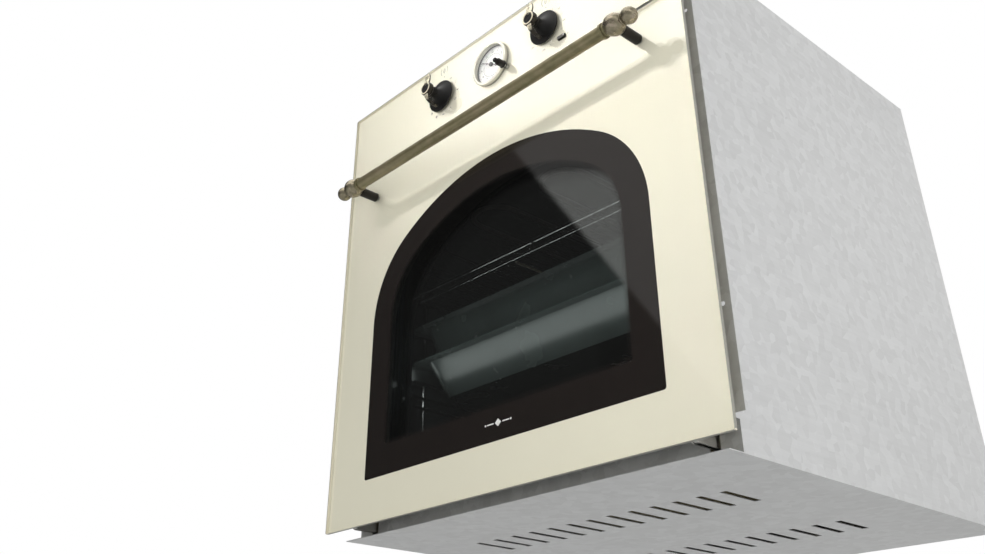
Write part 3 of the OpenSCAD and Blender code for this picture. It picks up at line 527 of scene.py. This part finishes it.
def galvanised(name):
    """Zinc-coated sheet: crystals of slightly different greys, faint rolling lines and a few rub marks."""
    s = Shader(name)
    crystals = s.cells(95.0, "Color")
    grey = s.node("ShaderNodeSeparateColor", {"Color": crystals}).outputs[0]
    rolling = s.noise(9.0, 4, 0.6, (1.0, 1.0, 28.0))
    rubs = s.noise(5.0, 6, 0.7)
    fac = s.math("ADD", s.spread(grey, 0.0, 0.5), s.spread(rolling, 0.0, 0.5))
    tone = s.ramp(fac, [(0.15, scaled(ZINC, 0.88)), (0.85, scaled(ZINC, 1.1))])
    tone = s.blend(s.spread(rubs, 0.0, 0.25, 0.5, 0.8), tone, scaled(ZINC, 0.8))
    rough = s.math("ADD", s.spread(grey, 0.30, 0.42), s.spread(rubs, 0.0, 0.1))
    return s.done(s.principled(Base_Color=tone, Metallic=0.75, Roughness=rough,
                               Normal=s.bump(grey, 0.04, 0.0001)))


def brushed_steel(name, colour, rough=0.26, stretch=(1, 1, 40)):
    """Steel with fine lines across its stretched direction, and a few faint stains."""
    s = Shader(name)
    lines = s.noise(160.0, 3, 0.6, stretch)
    stains = s.noise(12.0, 4)
    tone = s.ramp(lines, [(0.3, scaled(colour, 0.84)), (0.7, scaled(colour, 1.1))])
    rough_out = s.math("ADD", s.spread(lines, rough - 0.05, rough + 0.06), s.spread(stains, 0.0, 0.08))
    return s.done(s.principled(Base_Color=tone, Metallic=1.0, Roughness=rough_out,
                               Normal=s.bump(lines, 0.08, 0.00008)))


def vitreous_enamel(name, colour, speck, speck_size=900.0, rough=0.16):
    """Glossy stove enamel on steel: orange-peel surface and sparse pale specks."""
    s = Shader(name)
    near = s.cells(speck_size)
    chance = s.node("ShaderNodeSeparateColor", {"Color": s.cells(speck_size, "Color")}).outputs[1]
    dot = s.math("LESS_THAN", near, 0.22)
    rare = s.math("GREATER_THAN", chance, 0.9)
    broad = s.noise(18.0, 3)
    base = s.ramp(broad, [(0.3, scaled(colour, 0.86)), (0.7, scaled(colour, 1.16))])
    tone = s.blend(s.math("MULTIPLY", dot, rare), base, speck)
    peel = s.noise(220.0, 2)
    return s.done(s.principled(Base_Color=tone, Roughness=s.spread(broad, rough - 0.04, rough + 0.08),
                               Specular_IOR_Level=0.6, Normal=s.bump(peel, 0.12, 0.00025)))


def heated_metal(name):
    """A heating element's sheath: dull, dark, with the straw and blue of first heating."""
    s = Shader(name)
    bands = s.noise(26.0, 4)
    tone = s.ramp(bands, [(0.25, (0.06, 0.06, 0.065)), (0.5, (0.13, 0.12, 0.11)), (0.75, (0.19, 0.16, 0.12))])
    grain = s.noise(900.0, 2)
    return s.done(s.principled(Base_Color=tone, Metallic=0.85, Roughness=s.spread(grain, 0.4, 0.6),
                               Normal=s.bump(grain, 0.2, 0.0001)))


def motor_iron(name):
    """The stacked plates of a motor's core."""
    s = Shader(name)
    plates = s.waves(420.0, "Y")
    tone = s.ramp(plates, [(0.2, (0.12, 0.125, 0.13)), (0.8, (0.26, 0.27, 0.28))])
    return s.done(s.principled(Base_Color=tone, Metallic=0.8, Roughness=0.45,
                               Normal=s.bump(plates, 0.4, 0.0003)))


def braided_gasket(name):
    """Dark glass fibre braid."""
    s = Shader(name)
    strands = s.cells(620.0)
    tone = s.ramp(strands, [(0.1, (0.10, 0.10, 0.10)), (0.6, (0.03, 0.03, 0.03))])
    return s.done(s.principled(Base_Color=tone, Roughness=0.85, Normal=s.bump(strands, 0.8, 0.0006)))


def mineral_wool(name):
    """Lumpy matted fibres."""
    s = Shader(name)
    fibres = s.noise(240.0, 6, 0.75, (1, 4, 1))
    lumps = s.noise(30.0, 4)
    fac = s.math("ADD", s.spread(fibres, 0, 0.6), s.spread(lumps, 0, 0.4))
    tone = s.ramp(fac, [(0.3, (0.33, 0.27, 0.15)), (0.7, (0.66, 0.58, 0.38))])
    return s.done(s.principled(Base_Color=tone, Roughness=0.95, Normal=s.bump(fac, 1.0, 0.003)))


def printed_ink(name, colour):
    """Screen printing ink with fine pores."""
    return clouded(name, 2400.0, 1, scaled(colour, 0.8), scaled(colour, 1.2), (0.4, 0.55))


def make_materials():
    """Every look by the name that the pieces ask for it with."""
    return {
        "cream": fired_enamel("cream_enamel", CREAM, 0.02),
        "brown": fired_enamel("brown_enamel", BROWN, 0.12),
        "clear": sheet_glass("door_glass", (0.99, 0.995, 0.99)),
        "inner": sheet_glass("inner_door_glass", (0.93, 0.95, 0.945), False, 0.085),
        "lens": small_glass("lens_glass", (0.985, 0.99, 0.985), 0.012),
        "bulb": small_glass("bulb_glass", (0.97, 0.96, 0.92), 0.08),
        "bar": antique_brass("bar_brass", BRASS, 260.0, 0.5, 0.36, (0.04, 1, 1), 0.75),
        "ball": antique_brass("ball_brass", PALE_BRASS, 300.0, 0.55, 0.24, (1, 0.3, 1), 0.9),
        "lever": lever_brass("lever_brass"),
        "post": clouded("post_lacquer", 120.0, 4, (0.0070, 0.0056, 0.0042), (0.0140, 0.0112, 0.0084),
                        (0.34, 0.48), (0.06, 0.0001), Metallic=0.2, Specular_IOR_Level=0.35),
        "knob": moulded_plastic("knob_black", (0.0055, 0.0052, 0.005), 0.48),
        "black": moulded_plastic("black_nylon", (0.02, 0.02, 0.02), 0.5, 0.25),
        "ivory": moulded_plastic("ivory_moulding", (0.62, 0.58, 0.46), 0.45),
        "grey": moulded_plastic("grey_moulding", (0.12, 0.12, 0.125), 0.5),
        "smoke": moulded_plastic("smoked_lens", (0.17, 0.165, 0.155), 0.2, 0.02),
        "zinc": galvanised("galvanised_sheet"),
        "steel": brushed_steel("satin_steel", (0.58, 0.57, 0.54)),
        "fan": brushed_steel("pressed_steel", (0.5, 0.5, 0.5), 0.34, (1, 1, 6)),
        "dark_steel": brushed_steel("dark_steel", (0.12, 0.12, 0.125), 0.32, (1, 1, 8)),
        "chrome": clouded("chrome_wire", 80.0, 4, (0.62, 0.62, 0.63), (0.78, 0.78, 0.78), (0.12, 0.26),
                          Metallic=1.0),
        "cavity": vitreous_enamel("cavity_enamel", (0.020, 0.023, 0.024), (0.25, 0.27, 0.28)),
        "tray": vitreous_enamel("tray_enamel", TRAY_GREEN, (0.12, 0.15, 0.15), 1100.0, 0.24),
        "element": heated_metal("element_sheath"),
        "iron": motor_iron("motor_iron"),
        "gasket": braided_gasket("door_gasket_braid"),
        "wool": mineral_wool("mineral_wool"),
        "ceramic": clouded("glazed_ceramic", 60.0, 3, (0.72, 0.70, 0.64), (0.82, 0.80, 0.75), (0.12, 0.25),
                           (0.08, 0.0002), Coat_Weight=0.3),
        "bezel": clouded("bezel_lacquer", 70.0, 4, (0.74, 0.71, 0.60), (0.84, 0.81, 0.70), (0.14, 0.24),
                         (0.03, 0.0001), Metallic=0.15, Coat_Weight=0.6, Coat_Roughness=0.05),
        "dial": clouded("dial_white", 1200.0, 2, (0.70, 0.70, 0.69), (0.76, 0.76, 0.75), (0.45, 0.6)),
        "ink": printed_ink("black_ink", (0.018, 0.017, 0.016)),
        "symbol": printed_ink("symbol_ink", (0.085, 0.075, 0.055)),
        "white_ink": printed_ink("white_ink", (0.78, 0.78, 0.76)),
        "mask": printed_ink("inner_glass_mask", (0.006, 0.006, 0.006)),
    }


NODE_MATERIALS = {
    "zinc": ["housing_side_left", "housing_side_right", "housing_top_cover", "housing_back_cover",
             "housing_base", "air_duct", "control_panel_bracket", "cooling_fan_housing",
             "front_frame", "door_frame"],
    "steel": ["hinge_arms", "hinge_bodies"],
    "dark_steel": ["housing_screws"],
    "cavity": ["cavity_shell", "cavity_back_baffle"],
    "tray": ["deep_tray", "shallow_tray"],
    "chrome": ["wire_shelf", "side_racks", "telescopic_rails_fixed", "telescopic_rails_moving",
               "clock_stem_spindle"],
    "element": ["grill_element", "ring_element", "bottom_element"],
    "fan": ["convection_fan", "cooling_fan_rotor"],
    "iron": ["fan_motor", "cooling_fan_motor"],
    "gasket": ["door_gasket"],
    "wool": ["insulation_blanket"],
    "ceramic": ["lamp_holder", "terminal_block"],
    "bulb": ["lamp_bulb"],
    "lens": ["lamp_cover", "clock_lens"],
    "clear": ["door_outer_glass", "control_panel_glass"],
    "inner": ["door_middle_glass", "door_inner_glass"],
    "ivory": ["function_switch", "thermostat"],
    "grey": ["clock_body"],
    "smoke": ["pilot_lamp"],
    "black": ["cable_gland"],
    "bezel": ["clock_bezel"],
    "dial": ["clock_dial"],
    "ink": ["minute_hand", "hour_hand"],
    "knob": ["clock_stem_knob", "function_knob_skirt", "thermostat_knob_skirt"],
    "lever": ["function_knob_lever", "thermostat_knob_lever"],
    "bar": ["handle_bar"],
    "ball": ["handle_ball_ends"],
    "post": ["handle_posts"],
}


PANES = ("door_outer_glass", "door_middle_glass", "door_inner_glass",
         "clock_lens", "lamp_cover", "lamp_bulb")


def dress_nodes(looks):
    """Puts the node materials on the CAD nodes."""
    # Clear panes cast no shadow, so that light reaches the cavity through all three of them
    for name in PANES:
        NODES[name].visible_shadow = False
    for look, names in NODE_MATERIALS.items():
        for name in names:
            node = NODES[name]
            node.data.materials.clear()
            node.data.materials.append(looks[look])


# ---------------------------------------------------------------- flat prints

class Print:
    """Collects flat shapes seen from the front, in metres from a centre, and makes them one thin solid."""

    def __init__(self, x=0.0, z=0.0):
        self.centre = (x, z)
        self.work = bmesh.new()

    def polygon(self, points):
        x, z = self.centre
        corners = [self.work.verts.new((x + p[0], 0, z + p[1])) for p in points]
        self.work.faces.new(corners)

    def stroke(self, points, width, closed=False):
        """A line of even width through the points."""
        ends = list(points) + ([points[0]] if closed else [])
        for (ax, az), (bx, bz) in zip(ends, ends[1:]):
            length = math.hypot(bx - ax, bz - az)
            if length < TOUCHING:
                continue
            ux, uz = (bx - ax) / length * width / 2, (bz - az) / length * width / 2
            self.polygon([(ax - ux + uz, az - uz - ux), (bx + ux + uz, bz + uz - ux),
                          (bx + ux - uz, bz + uz + ux), (ax - ux - uz, az - uz + ux)])

    def disc(self, x, z, r, steps=16):
        self.polygon([(x + r * math.cos(2 * math.pi * k / steps), z + r * math.sin(2 * math.pi * k / steps))
                      for k in range(steps)])

    def ring(self, x, z, r, width, start=0.0, end=360.0, steps=32):
        """Part of a ring, with angles counted clockwise from the top."""
        def at(radius, k):
            a = math.radians(start + (end - start) * k / steps)
            return x + radius * math.sin(a), z + radius * math.cos(a)
        for k in range(steps):
            self.polygon([at(r - width / 2, k), at(r + width / 2, k), at(r + width / 2, k + 1),
                          at(r - width / 2, k + 1)])

    def text(self, words, x, z, size, turn=0.0):
        """Digits in Blender's own font, centred at a place."""
        curve = bpy.data.curves.new("digits", "FONT")
        curve.body = words
        curve.size = size
        curve.align_x = "CENTER"
        curve.align_y = "CENTER"
        curve.resolution_u = 4
        holder = bpy.data.objects.new("digits", curve)
        bpy.context.scene.collection.objects.link(holder)
        bpy.context.view_layer.update()
        mesh = bpy.data.meshes.new_from_object(holder)
        bpy.data.objects.remove(holder)
        upright = Matrix.Rotation(math.radians(90), 4, "X")
        place = Matrix.Translation((self.centre[0] + x, 0, self.centre[1] + z))
        mesh.transform(place @ Matrix.Rotation(math.radians(turn), 4, "Y") @ upright)
        self.work.from_mesh(mesh)
        bpy.data.meshes.remove(mesh)

    def make(self, name, y, thickness=0.00004):
        """Lays the shapes at depth y, with their fronts a little nearer the viewer."""
        faces = list(self.work.faces)
        grown = bmesh.ops.extrude_face_region(self.work, geom=faces)
        moved = [g for g in grown["geom"] if isinstance(g, bmesh.types.BMVert)]
        bmesh.ops.translate(self.work, verts=moved, vec=(0, -thickness, 0))
        bmesh.ops.translate(self.work, verts=self.work.verts, vec=(0, y, 0))
        bmesh.ops.recalc_face_normals(self.work, faces=self.work.faces)
        mesh = bpy.data.meshes.new(name)
        self.work.to_mesh(mesh)
        self.work.free()
        made = bpy.data.objects.new(name, mesh)
        bpy.context.scene.collection.objects.link(made)
        return made


def clock_face_point(angle, r):
    """A point at an angle counted clockwise from the top."""
    return r * math.sin(math.radians(angle)), r * math.cos(math.radians(angle))


# The line width and half the size of a cooking symbol
INK_W = 0.00048
ICON = 0.0021


def icon_strokes(kind):
    """The strokes of a small cooking symbol inside a square from -1 to 1."""
    top, bottom = [(-0.8, 0.8), (0.8, 0.8)], [(-0.8, -0.8), (0.8, -0.8)]
    zigzag = [(-0.8 + 0.4 * k, 0.75 if k % 2 else 0.35) for k in range(5)]
    cross = [[(-0.5, -0.5), (0.5, 0.5)], [(-0.5, 0.5), (0.5, -0.5)]]
    dish = [(-0.8, 0.1), (-0.6, -0.45), (0.6, -0.45), (0.8, 0.1)]
    return {
        "lamp": [[(0, 0.9), (0, 0.55)], [(-0.9, 0.1), (-0.6, 0.1)], [(0.9, 0.1), (0.6, 0.1)]],
        "both": [top, bottom],
        "bottom": [bottom, dish],
        "top": [top, dish],
        "grill": [zigzag],
        "wide_grill": [zigzag, top],
        "fan": cross,
        "fan_bottom": cross + [bottom],
        "fan_grill": cross + [zigzag],
        "defrost": cross + [[(0, 0.75), (0, -0.75)]],
    }[kind]


def draw_icon(sheet, kind, x, z):
    for line in icon_strokes(kind):
        sheet.stroke([(x + p[0] * ICON, z + p[1] * ICON) for p in line], INK_W)
    if kind == "lamp":
        sheet.ring(x, z + ICON * 0.1, ICON * 0.42, INK_W, steps=16)
    if kind.startswith("fan"):
        sheet.ring(x, z, ICON * 0.78, INK_W * 0.8, steps=20)


def draw_heading(sheet):
    """The sign over a knob: a leaf shape between two brackets, and the index dot under it."""
    for side in (-1, 1):
        middle = 90 * side
        sheet.ring(side * -0.0015, HEADING_Z, 0.0085, 0.0007, middle - 38, middle + 38, 16)
    leaf = [clock_face_point(20 + a, 0.0036) for a in range(0, 360, 30)]
    sheet.stroke([(x * 0.55, HEADING_Z + z) for x, z in leaf], HEADING_W, closed=True)
    sheet.stroke([(-0.0012, HEADING_Z - 0.003), (0.0012, HEADING_Z + 0.003)], HEADING_W)
    sheet.disc(0, INDEX_Z, 0.00075)


# Heights over the knob's axis, the heading's line width, and the radius on which the symbols stand
HEADING_Z = 0.0445
INDEX_Z = 0.0345
HEADING_W = 0.0005
SYMBOL_RADIUS = 0.0284
# The printed symbols lie this far in front of the glass's back
SYMBOL_DEPTH = 0.00040


def make_panel_prints(looks):
    """The cooking symbols round the left knob, and the temperatures round the right one."""
    kinds = ["lamp", "both", "bottom", "top", "grill", "wide_grill", "fan_grill", "fan", "fan_bottom",
             "defrost"]
    left = Print(-KNOB_X, CONTROL_Z)
    draw_heading(left)
    for k, kind in enumerate(kinds):
        draw_icon(left, kind, *clock_face_point(30 * (k + 1), SYMBOL_RADIUS))
    right = Print(KNOB_X, CONTROL_Z)
    draw_heading(right)
    for k in range(11):
        angle = 24 * (k + 1)
        if k % 2:
            right.text(str(25 * (k + 1)), *clock_face_point(angle, SYMBOL_RADIUS + 0.0006), 0.0036)
        else:
            inner, outer = clock_face_point(angle, 0.0268), clock_face_point(angle, 0.0288)
            right.stroke([inner, outer], 0.0004)
    pilot = centre("pilot_lamp")
    pilot_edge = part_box("pilot_lamp")[1].x
    right.ring(pilot_edge - KNOB_X + 0.0028, pilot.z - CONTROL_Z + 0.0022, 0.0008, 0.0004, steps=16)
    for sheet, name in ((left, "function_symbols"), (right, "temperature_symbols")):
        made = sheet.make(name, GLASS_BACK - SYMBOL_DEPTH)
        finish_piece(made, "housing", looks["symbol"])


def make_panel_enamel(looks):
    """The cream enamel on the control panel's back, open at the knobs, the clock and the pilot window.

    The clock's stem goes through it without a hole of its own.
    """
    sheet = Print()
    work = sheet.work
    margin = 0.0006
    low, high = PANEL_LOW, PANEL_HIGH
    outline = [(low.x + margin, low.z + margin), (high.x - margin, low.z + margin),
               (high.x - margin, high.z - margin), (low.x + margin, high.z - margin)]
    holes = []
    for x, r in ((-KNOB_X, KNOB_HOLE_R), (KNOB_X, KNOB_HOLE_R), (0, CLOCK_HOLE_R)):
        holes.append([(x + r * math.cos(a * math.pi / 32), CONTROL_Z + r * math.sin(a * math.pi / 32))
                      for a in range(64)])
    plow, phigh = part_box("pilot_lamp")
    middle = (plow.z + phigh.z) / 2
    holes.append([(plow.x, middle - PILOT_HALF), (phigh.x, middle - PILOT_HALF),
                  (phigh.x, middle + PILOT_HALF), (plow.x, middle + PILOT_HALF)])
    edges = []
    for loop in [outline] + holes:
        corners = [work.verts.new((x, 0, z)) for x, z in loop]
        edges += [work.edges.new((a, b)) for a, b in zip(corners, corners[1:] + corners[:1])]
    bmesh.ops.triangle_fill(work, edges=edges, use_beauty=True)
    made = sheet.make("control_panel_enamel", GLASS_BACK - ENAMEL_GAP, ENAMEL_THICK)
    finish_piece(made, "housing", looks["cream"])


# The panel's enamel lies in the back of the glass, clear of the glass's rear face by the gap
ENAMEL_GAP = 0.00006
ENAMEL_THICK = 0.00025
KNOB_HOLE_R = 0.0042
CLOCK_HOLE_R = 0.0295
# Half the height of the pilot window
PILOT_HALF = 0.00215


# ---------------------------------------------------------------- door details

# The brown border's width, and its outline: two shoulders on straight sides, and a flatter crown between
BORDER = 0.036
ARCH_BOTTOM = PRINT_LOW.z
ARCH_TOP = PRINT_HIGH.z
ARCH_HALF = PRINT_HIGH.x
SHOULDER_R = 0.128
SPRING_Z = DOOR_LOW.z + 0.248


def arch_line(inset, pitch):
    """Points at an even pitch round the arch, drawn inwards by inset."""
    a = ARCH_HALF - SHOULDER_R
    b = SPRING_Z - ARCH_TOP
    crown_r = (SHOULDER_R ** 2 - a * a - b * b) / (2 * (b + SHOULDER_R))
    crown_z = ARCH_TOP - crown_r
    turn = math.atan2(SPRING_Z - crown_z, a)
    side, low = ARCH_HALF - inset, ARCH_BOTTOM + inset
    points = []

    def arc(cx, cz, r, start, end):
        count = max(2, round(abs(end - start) * r / pitch))
        for k in range(count):
            angle = start + (end - start) * (k + 0.5) / count
            points.append((cx + r * math.cos(angle), cz + r * math.sin(angle)))

    def line(x0, z0, x1, z1):
        count = round(math.hypot(x1 - x0, z1 - z0) / pitch)
        for k in range(count):
            t = (k + 0.5) / count
            points.append((x0 + (x1 - x0) * t, z0 + (z1 - z0) * t))

    line(side, low, side, SPRING_Z)
    arc(a, SPRING_Z, SHOULDER_R - inset, 0, turn)
    arc(0, crown_z, crown_r - inset, turn, math.pi - turn)
    arc(-a, SPRING_Z, SHOULDER_R - inset, math.pi - turn, math.pi)
    line(-side, SPRING_Z, -side, low)
    line(-side, low, side, low)
    return points


def make_door_prints(looks):
    """The two fired prints, thinner than their CAD solids, so that they share no plane with the glass."""
    for node, name, look, slot in (("door_enamel_print", "door_cream_enamel", "cream", "cream_print"),
                                   ("window_border_print", "window_border_enamel", "brown", "brown_print")):
        mesh = NODES[node].data.copy()
        middle = centre(node).y
        for vertex in mesh.vertices:
            vertex.co.y = middle + (vertex.co.y - middle) * PRINT_SHARE
        made = bpy.data.objects.new(name, mesh)
        bpy.context.scene.collection.objects.link(made)
        finish_piece(made, "door", looks[look])
        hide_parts(node)
    edge_backing("door_edge_enamel", DOOR_LOW, DOOR_HIGH, "door", looks["cream"])
    edge_backing("panel_edge_enamel", PANEL_LOW, PANEL_HIGH, "housing", looks["cream"])


# How much of a CAD print's thickness its thinner copy keeps
PRINT_SHARE = 0.7


def edge_backing(name, low, high, body, look):
    """Enamel on the inside of a front glass's four ground edges, so that the cream reaches the edge."""
    inset, thick = 0.00015, 0.0004
    front, back = GLASS_Y + 0.0005, GLASS_BACK - 0.00003
    outline = [(low.x, low.z), (high.x, low.z), (high.x, high.z), (low.x, high.z)]
    points = []
    for step in (inset, inset + thick):
        for x, z in outline:
            px = x + math.copysign(step, -x)
            pz = z + (step if z == low.z else -step)
            points += [(px, front, pz), (px, back, pz)]
    faces = []
    for k in range(4):
        a, b = 2 * k, 2 * ((k + 1) % 4)
        faces += [(a, b, b + 1, a + 1), (a + 8, a + 9, b + 9, b + 8),
                  (a, a + 8, b + 8, b), (a + 1, b + 1, b + 9, a + 9)]
    finish_piece(outward(mesh_object(name, points, faces)), body, look)


def make_dot_fade(looks):
    """The rows of shrinking dots where the border print fades into the clear window."""
    sheet = Print()
    for row, radius in enumerate(DOT_RADII):
        for x, z in arch_line(BORDER + FIRST_DOT + row * ROW_PITCH, DOT_PITCH):
            sheet.disc(x, z, radius, 8)
    made = sheet.make("window_dot_fade", PRINT_LOW.y + 0.00012, 0.0001)
    finish_piece(made, "door", looks["brown"])


DOT_RADII = (0.00082, 0.00062, 0.00042)
FIRST_DOT = 0.0009
ROW_PITCH = 0.0019
DOT_PITCH = 0.0021


def frame_print(name, low, high, inner_low, inner_high, corner, y, body, look):
    """A flat print with a round-cornered opening."""
    sheet = Print()
    steps = 8
    outer, inner = [], []
    for k, (sx, sz) in enumerate(((1, 1), (-1, 1), (-1, -1), (1, -1))):
        ox = high[0] if sx > 0 else low[0]
        oz = high[1] if sz > 0 else low[1]
        cx = (inner_high[0] if sx > 0 else inner_low[0]) - sx * corner
        cz = (inner_high[1] if sz > 0 else inner_low[1]) - sz * corner
        for i in range(steps + 1):
            a = math.pi / 2 * (k + i / steps)
            inner.append((cx + corner * math.cos(a), cz + corner * math.sin(a)))
            outer.append((ox, oz))
    count = len(inner)
    for i in range(count):
        n = (i + 1) % count
        loop = [inner[i], inner[n], outer[n], outer[i]]
        loop = [p for j, p in enumerate(loop) if p != loop[j - 1]]
        if len(loop) > 2:
            sheet.polygon(loop)
    bmesh.ops.remove_doubles(sheet.work, verts=sheet.work.verts, dist=TOUCHING)
    finish_piece(sheet.make(name, y, 0.00015), body, look)


def make_door_details(looks):
    """The dark masks on the middle and inner panes, and the studs that hold the inner one."""
    for pane, half_width, bottom, top, corner in (("inner", 0.2275, 0.030, 0.030, 0.016),
                                                  ("middle", 0.228, 0.026, 0.022, 0.012)):
        low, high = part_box("door_" + pane + "_glass")
        frame_print(pane + "_glass_mask",
                    (low.x + MASK_MARGIN, low.z + MASK_MARGIN), (high.x - MASK_MARGIN, high.z - MASK_MARGIN),
                    (-half_width, low.z + bottom), (half_width, high.z - top), corner,
                    low.y - 0.00004, "door", looks["mask"])
    low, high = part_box("door_inner_glass")
    parts = []
    for x in (low.x + 0.011, high.x - 0.011):
        for z in (low.z + 0.012, high.z - 0.012):
            profile = [(0, 0.0013), (0.0030, 0.0012), (0.0042, 0.0006), (0.0044, 0.0), (0.0, 0.0)]
            parts.append(lathe(profile, (x, high.y, z), (0, 1, 0), 32))
    made = outward(mesh_object("inner_glass_studs", *joined(parts)))
    smooth(made.data, 35)
    finish_piece(made, "door", looks["steel"])


MASK_MARGIN = 0.002


def make_ornament(looks):
    """A small plain ornament on the lower border: a lozenge with a bar and a dot on each side."""
    sheet = Print(ORNAMENT_X, ARCH_BOTTOM + BORDER / 2 + ORNAMENT_RISE)
    sheet.polygon([(0, 0.0042), (-0.0048, 0), (0, -0.0042), (0.0048, 0)])
    for side in (-1, 1):
        sheet.stroke([(side * 0.0075, 0), (side * 0.0165, 0)], 0.0013)
        sheet.disc(side * 0.0195, 0, 0.0012, 20)
    made = sheet.make("window_ornament", PRINT_LOW.y - 0.00006)
    finish_piece(made, "door", looks["white_ink"])


# The ornament stands a little right of the middle, and a little over the middle of the border
ORNAMENT_X = 0.006
ORNAMENT_RISE = 0.001


def make_handle_beads(looks):
    """A fine turned ring between each large ball and its finial, and the seam round each ball."""
    bar_low, bar_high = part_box("handle_bar")
    y, z = (bar_low.y + bar_high.y) / 2, (bar_low.z + bar_high.z) / 2
    parts = []
    for side in (-1, 1):
        ball_x = side * HANDLE_POST_X
        for offset, radius, thick in HANDLE_RINGS:
            parts.append(bead(radius, 0, thick, thick, (ball_x + side * offset, y, z), (1, 0, 0)))
    made = outward(mesh_object("handle_beads", *joined(parts)))
    smooth(made.data, 60)
    finish_piece(made, "door", looks["ball"])


# The posts' distance from the middle, and each ring's distance outwards from there, radius and thickness
HANDLE_POST_X = 0.2365
HANDLE_RINGS = ((0.0120, 0.0064, 0.0010), (0.0, 0.01240, 0.00025), (0.0205, 0.00942, 0.00020))


# ---------------------------------------------------------------- knobs and clock

def lever_parts():
    """The brass lever of a knob at the origin: ring, leaf-shaped blade and curled tail."""
    def place(h, z):
        """A point on the middle plane, at h in front of the glass and z over the axis."""
        return Vector((0, -h, z))

    ring = [(0.0070, 0.0200), (0.0078, 0.0204), (0.0094, 0.0222), (0.00975, 0.0240), (0.00975, 0.0272),
            (0.00945, 0.0284), (0.0088, 0.0292), (0.0080, 0.0295), (0.0071, 0.0292), (0.0066, 0.0286),
            (0.0065, 0.0272), (0.0, 0.0272)]
    parts = [lathe([(0.0, 0.0200)] + ring, (0, 0, 0), (0, -1, 0), 72)]
    spine, sides, ups, widths, heights = [], [], [], [], []
    count = 22
    for k in range(count + 1):
        t = k / count
        z = 0.0062 + t * 0.0211
        h = 0.0262 - 0.0030 * t ** 1.4
        spine.append(place(h, z))
        sides.append((1, 0, 0))
        ups.append(Vector((0, -0.99, -0.14)))
        swell = math.sin(math.pi * min(1.0, 0.20 + 0.80 * t)) ** 0.75
        widths.append(max(0.0004, 0.0061 * swell))
        heights.append(max(0.0004, 0.0021 * (1 - 0.35 * t) * min(1.0, 5 * (1 - t) + 0.25)))
    parts.append(sweep(spine, sides, ups, widths, heights, 3.0, 28))
    spine, sides, ups, widths, heights = [], [], [], [], []
    for k in range(count + 1):
        t = k / count
        h, z = curve_point(*TAIL_CURVE, t)
        h2, z2 = curve_point(*TAIL_CURVE, t + 0.01)
        along = Vector((0, -(h2 - h), z2 - z)).normalized()
        spine.append(place(h, z))
        sides.append((1, 0, 0))
        ups.append(along.cross(Vector((1, 0, 0))))
        widths.append(0.0042 - 0.0018 * t)
        heights.append(0.0019 - 0.0006 * t)
    parts.append(sweep(spine, sides, ups, widths, heights, 2.6, 24))
    return joined(parts)


# Three control points of the tail, as distances in front of the glass and over the axis
TAIL_CURVE = ((0.0262, -0.0072), (0.0262, -0.0178), (0.0080, -0.0196))


def make_knobs(looks):
    """The levers, the round inserts in their rings, and the collars at the necks."""
    for name, x in (("function_knob", -KNOB_X), ("thermostat_knob", KNOB_X)):
        shift = Vector((x, GLASS_Y, CONTROL_Z))
        points, faces = lever_parts()
        lever = outward(mesh_object(name + "_brass_lever", [Vector(p) + shift for p in points], faces))
        smooth(lever.data, 42)
        finish_piece(lever, name, looks["lever"])
        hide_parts(name + "_lever")
        disc = [(0.0, 0.0281), (0.0030, 0.0282), (0.0034, 0.0278), (0.0040, 0.0278), (0.0044, 0.0283),
                (0.0058, 0.0284), (0.0064, 0.0280), (0.0065, 0.0272), (0.0, 0.0272)]
        insert = outward(mesh_object(name + "_insert", *lathe(disc, shift, (0, -1, 0), 64)))
        smooth(insert.data, 40)
        finish_piece(insert, name, looks["knob"])
        # A fine collar where the neck meets the skirt
        ring = bead(0.0072, 0.0152, 0.0007, 0.0006, shift, (0, -1, 0))
        collar = outward(mesh_object(name + "_collar", *ring))
        smooth(collar.data, 60)
        finish_piece(collar, name, looks["knob"])


def make_clock_print(looks):
    """The dial's marks, rings and numbers, and a black ring at its rim that is painted shade."""
    dial_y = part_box("clock_dial")[0].y
    sheet = Print(0, CONTROL_Z)
    for k in range(60):
        length = 0.0016 if k % 5 else 0.0026
        width = 0.00022 if k % 5 else 0.00045
        marks = clock_face_point(6 * k, MARK_RADIUS), clock_face_point(6 * k, MARK_RADIUS - length)
        sheet.stroke(marks, width)
    sheet.ring(0, 0, 0.0259, 0.0002, steps=96)
    sheet.ring(0, 0, 0.0165, 0.00022, steps=72)
    sheet.ring(0, 0, 0.0160, 0.00012, steps=72)
    for k in range(12):
        sheet.text(str(k or 12), *clock_face_point(30 * k, NUMBER_RADIUS), 0.0046)
    made = sheet.make("clock_markings", dial_y - 0.00001, 0.00003)
    finish_piece(made, "housing", looks["ink"])
    # A black ring between the dial and the bezel: painted shade, where the bezel's inner wall shades the dial
    loop = [(0.0266, 0), (0.0272, 0), (0.0272, 0.0014), (0.0266, 0.0014)]
    ring = ring_lathe(loop, (0, dial_y, CONTROL_Z), (0, -1, 0), 96)
    finish_piece(outward(mesh_object("clock_shadow_ring", *ring)), "housing", looks["black"])


MARK_RADIUS = 0.0258
NUMBER_RADIUS = 0.0203


# ---------------------------------------------------------------- all together

def main():
    looks = make_materials()
    make_studio()
    dress_nodes(looks)
    make_panel_enamel(looks)
    make_panel_prints(looks)
    make_door_prints(looks)
    make_dot_fade(looks)
    make_door_details(looks)
    make_ornament(looks)
    make_handle_beads(looks)
    make_knobs(looks)
    make_clock_print(looks)
    bpy.context.scene.view_settings.view_transform = "Standard"
    bpy.context.scene.view_settings.look = "None"


main()
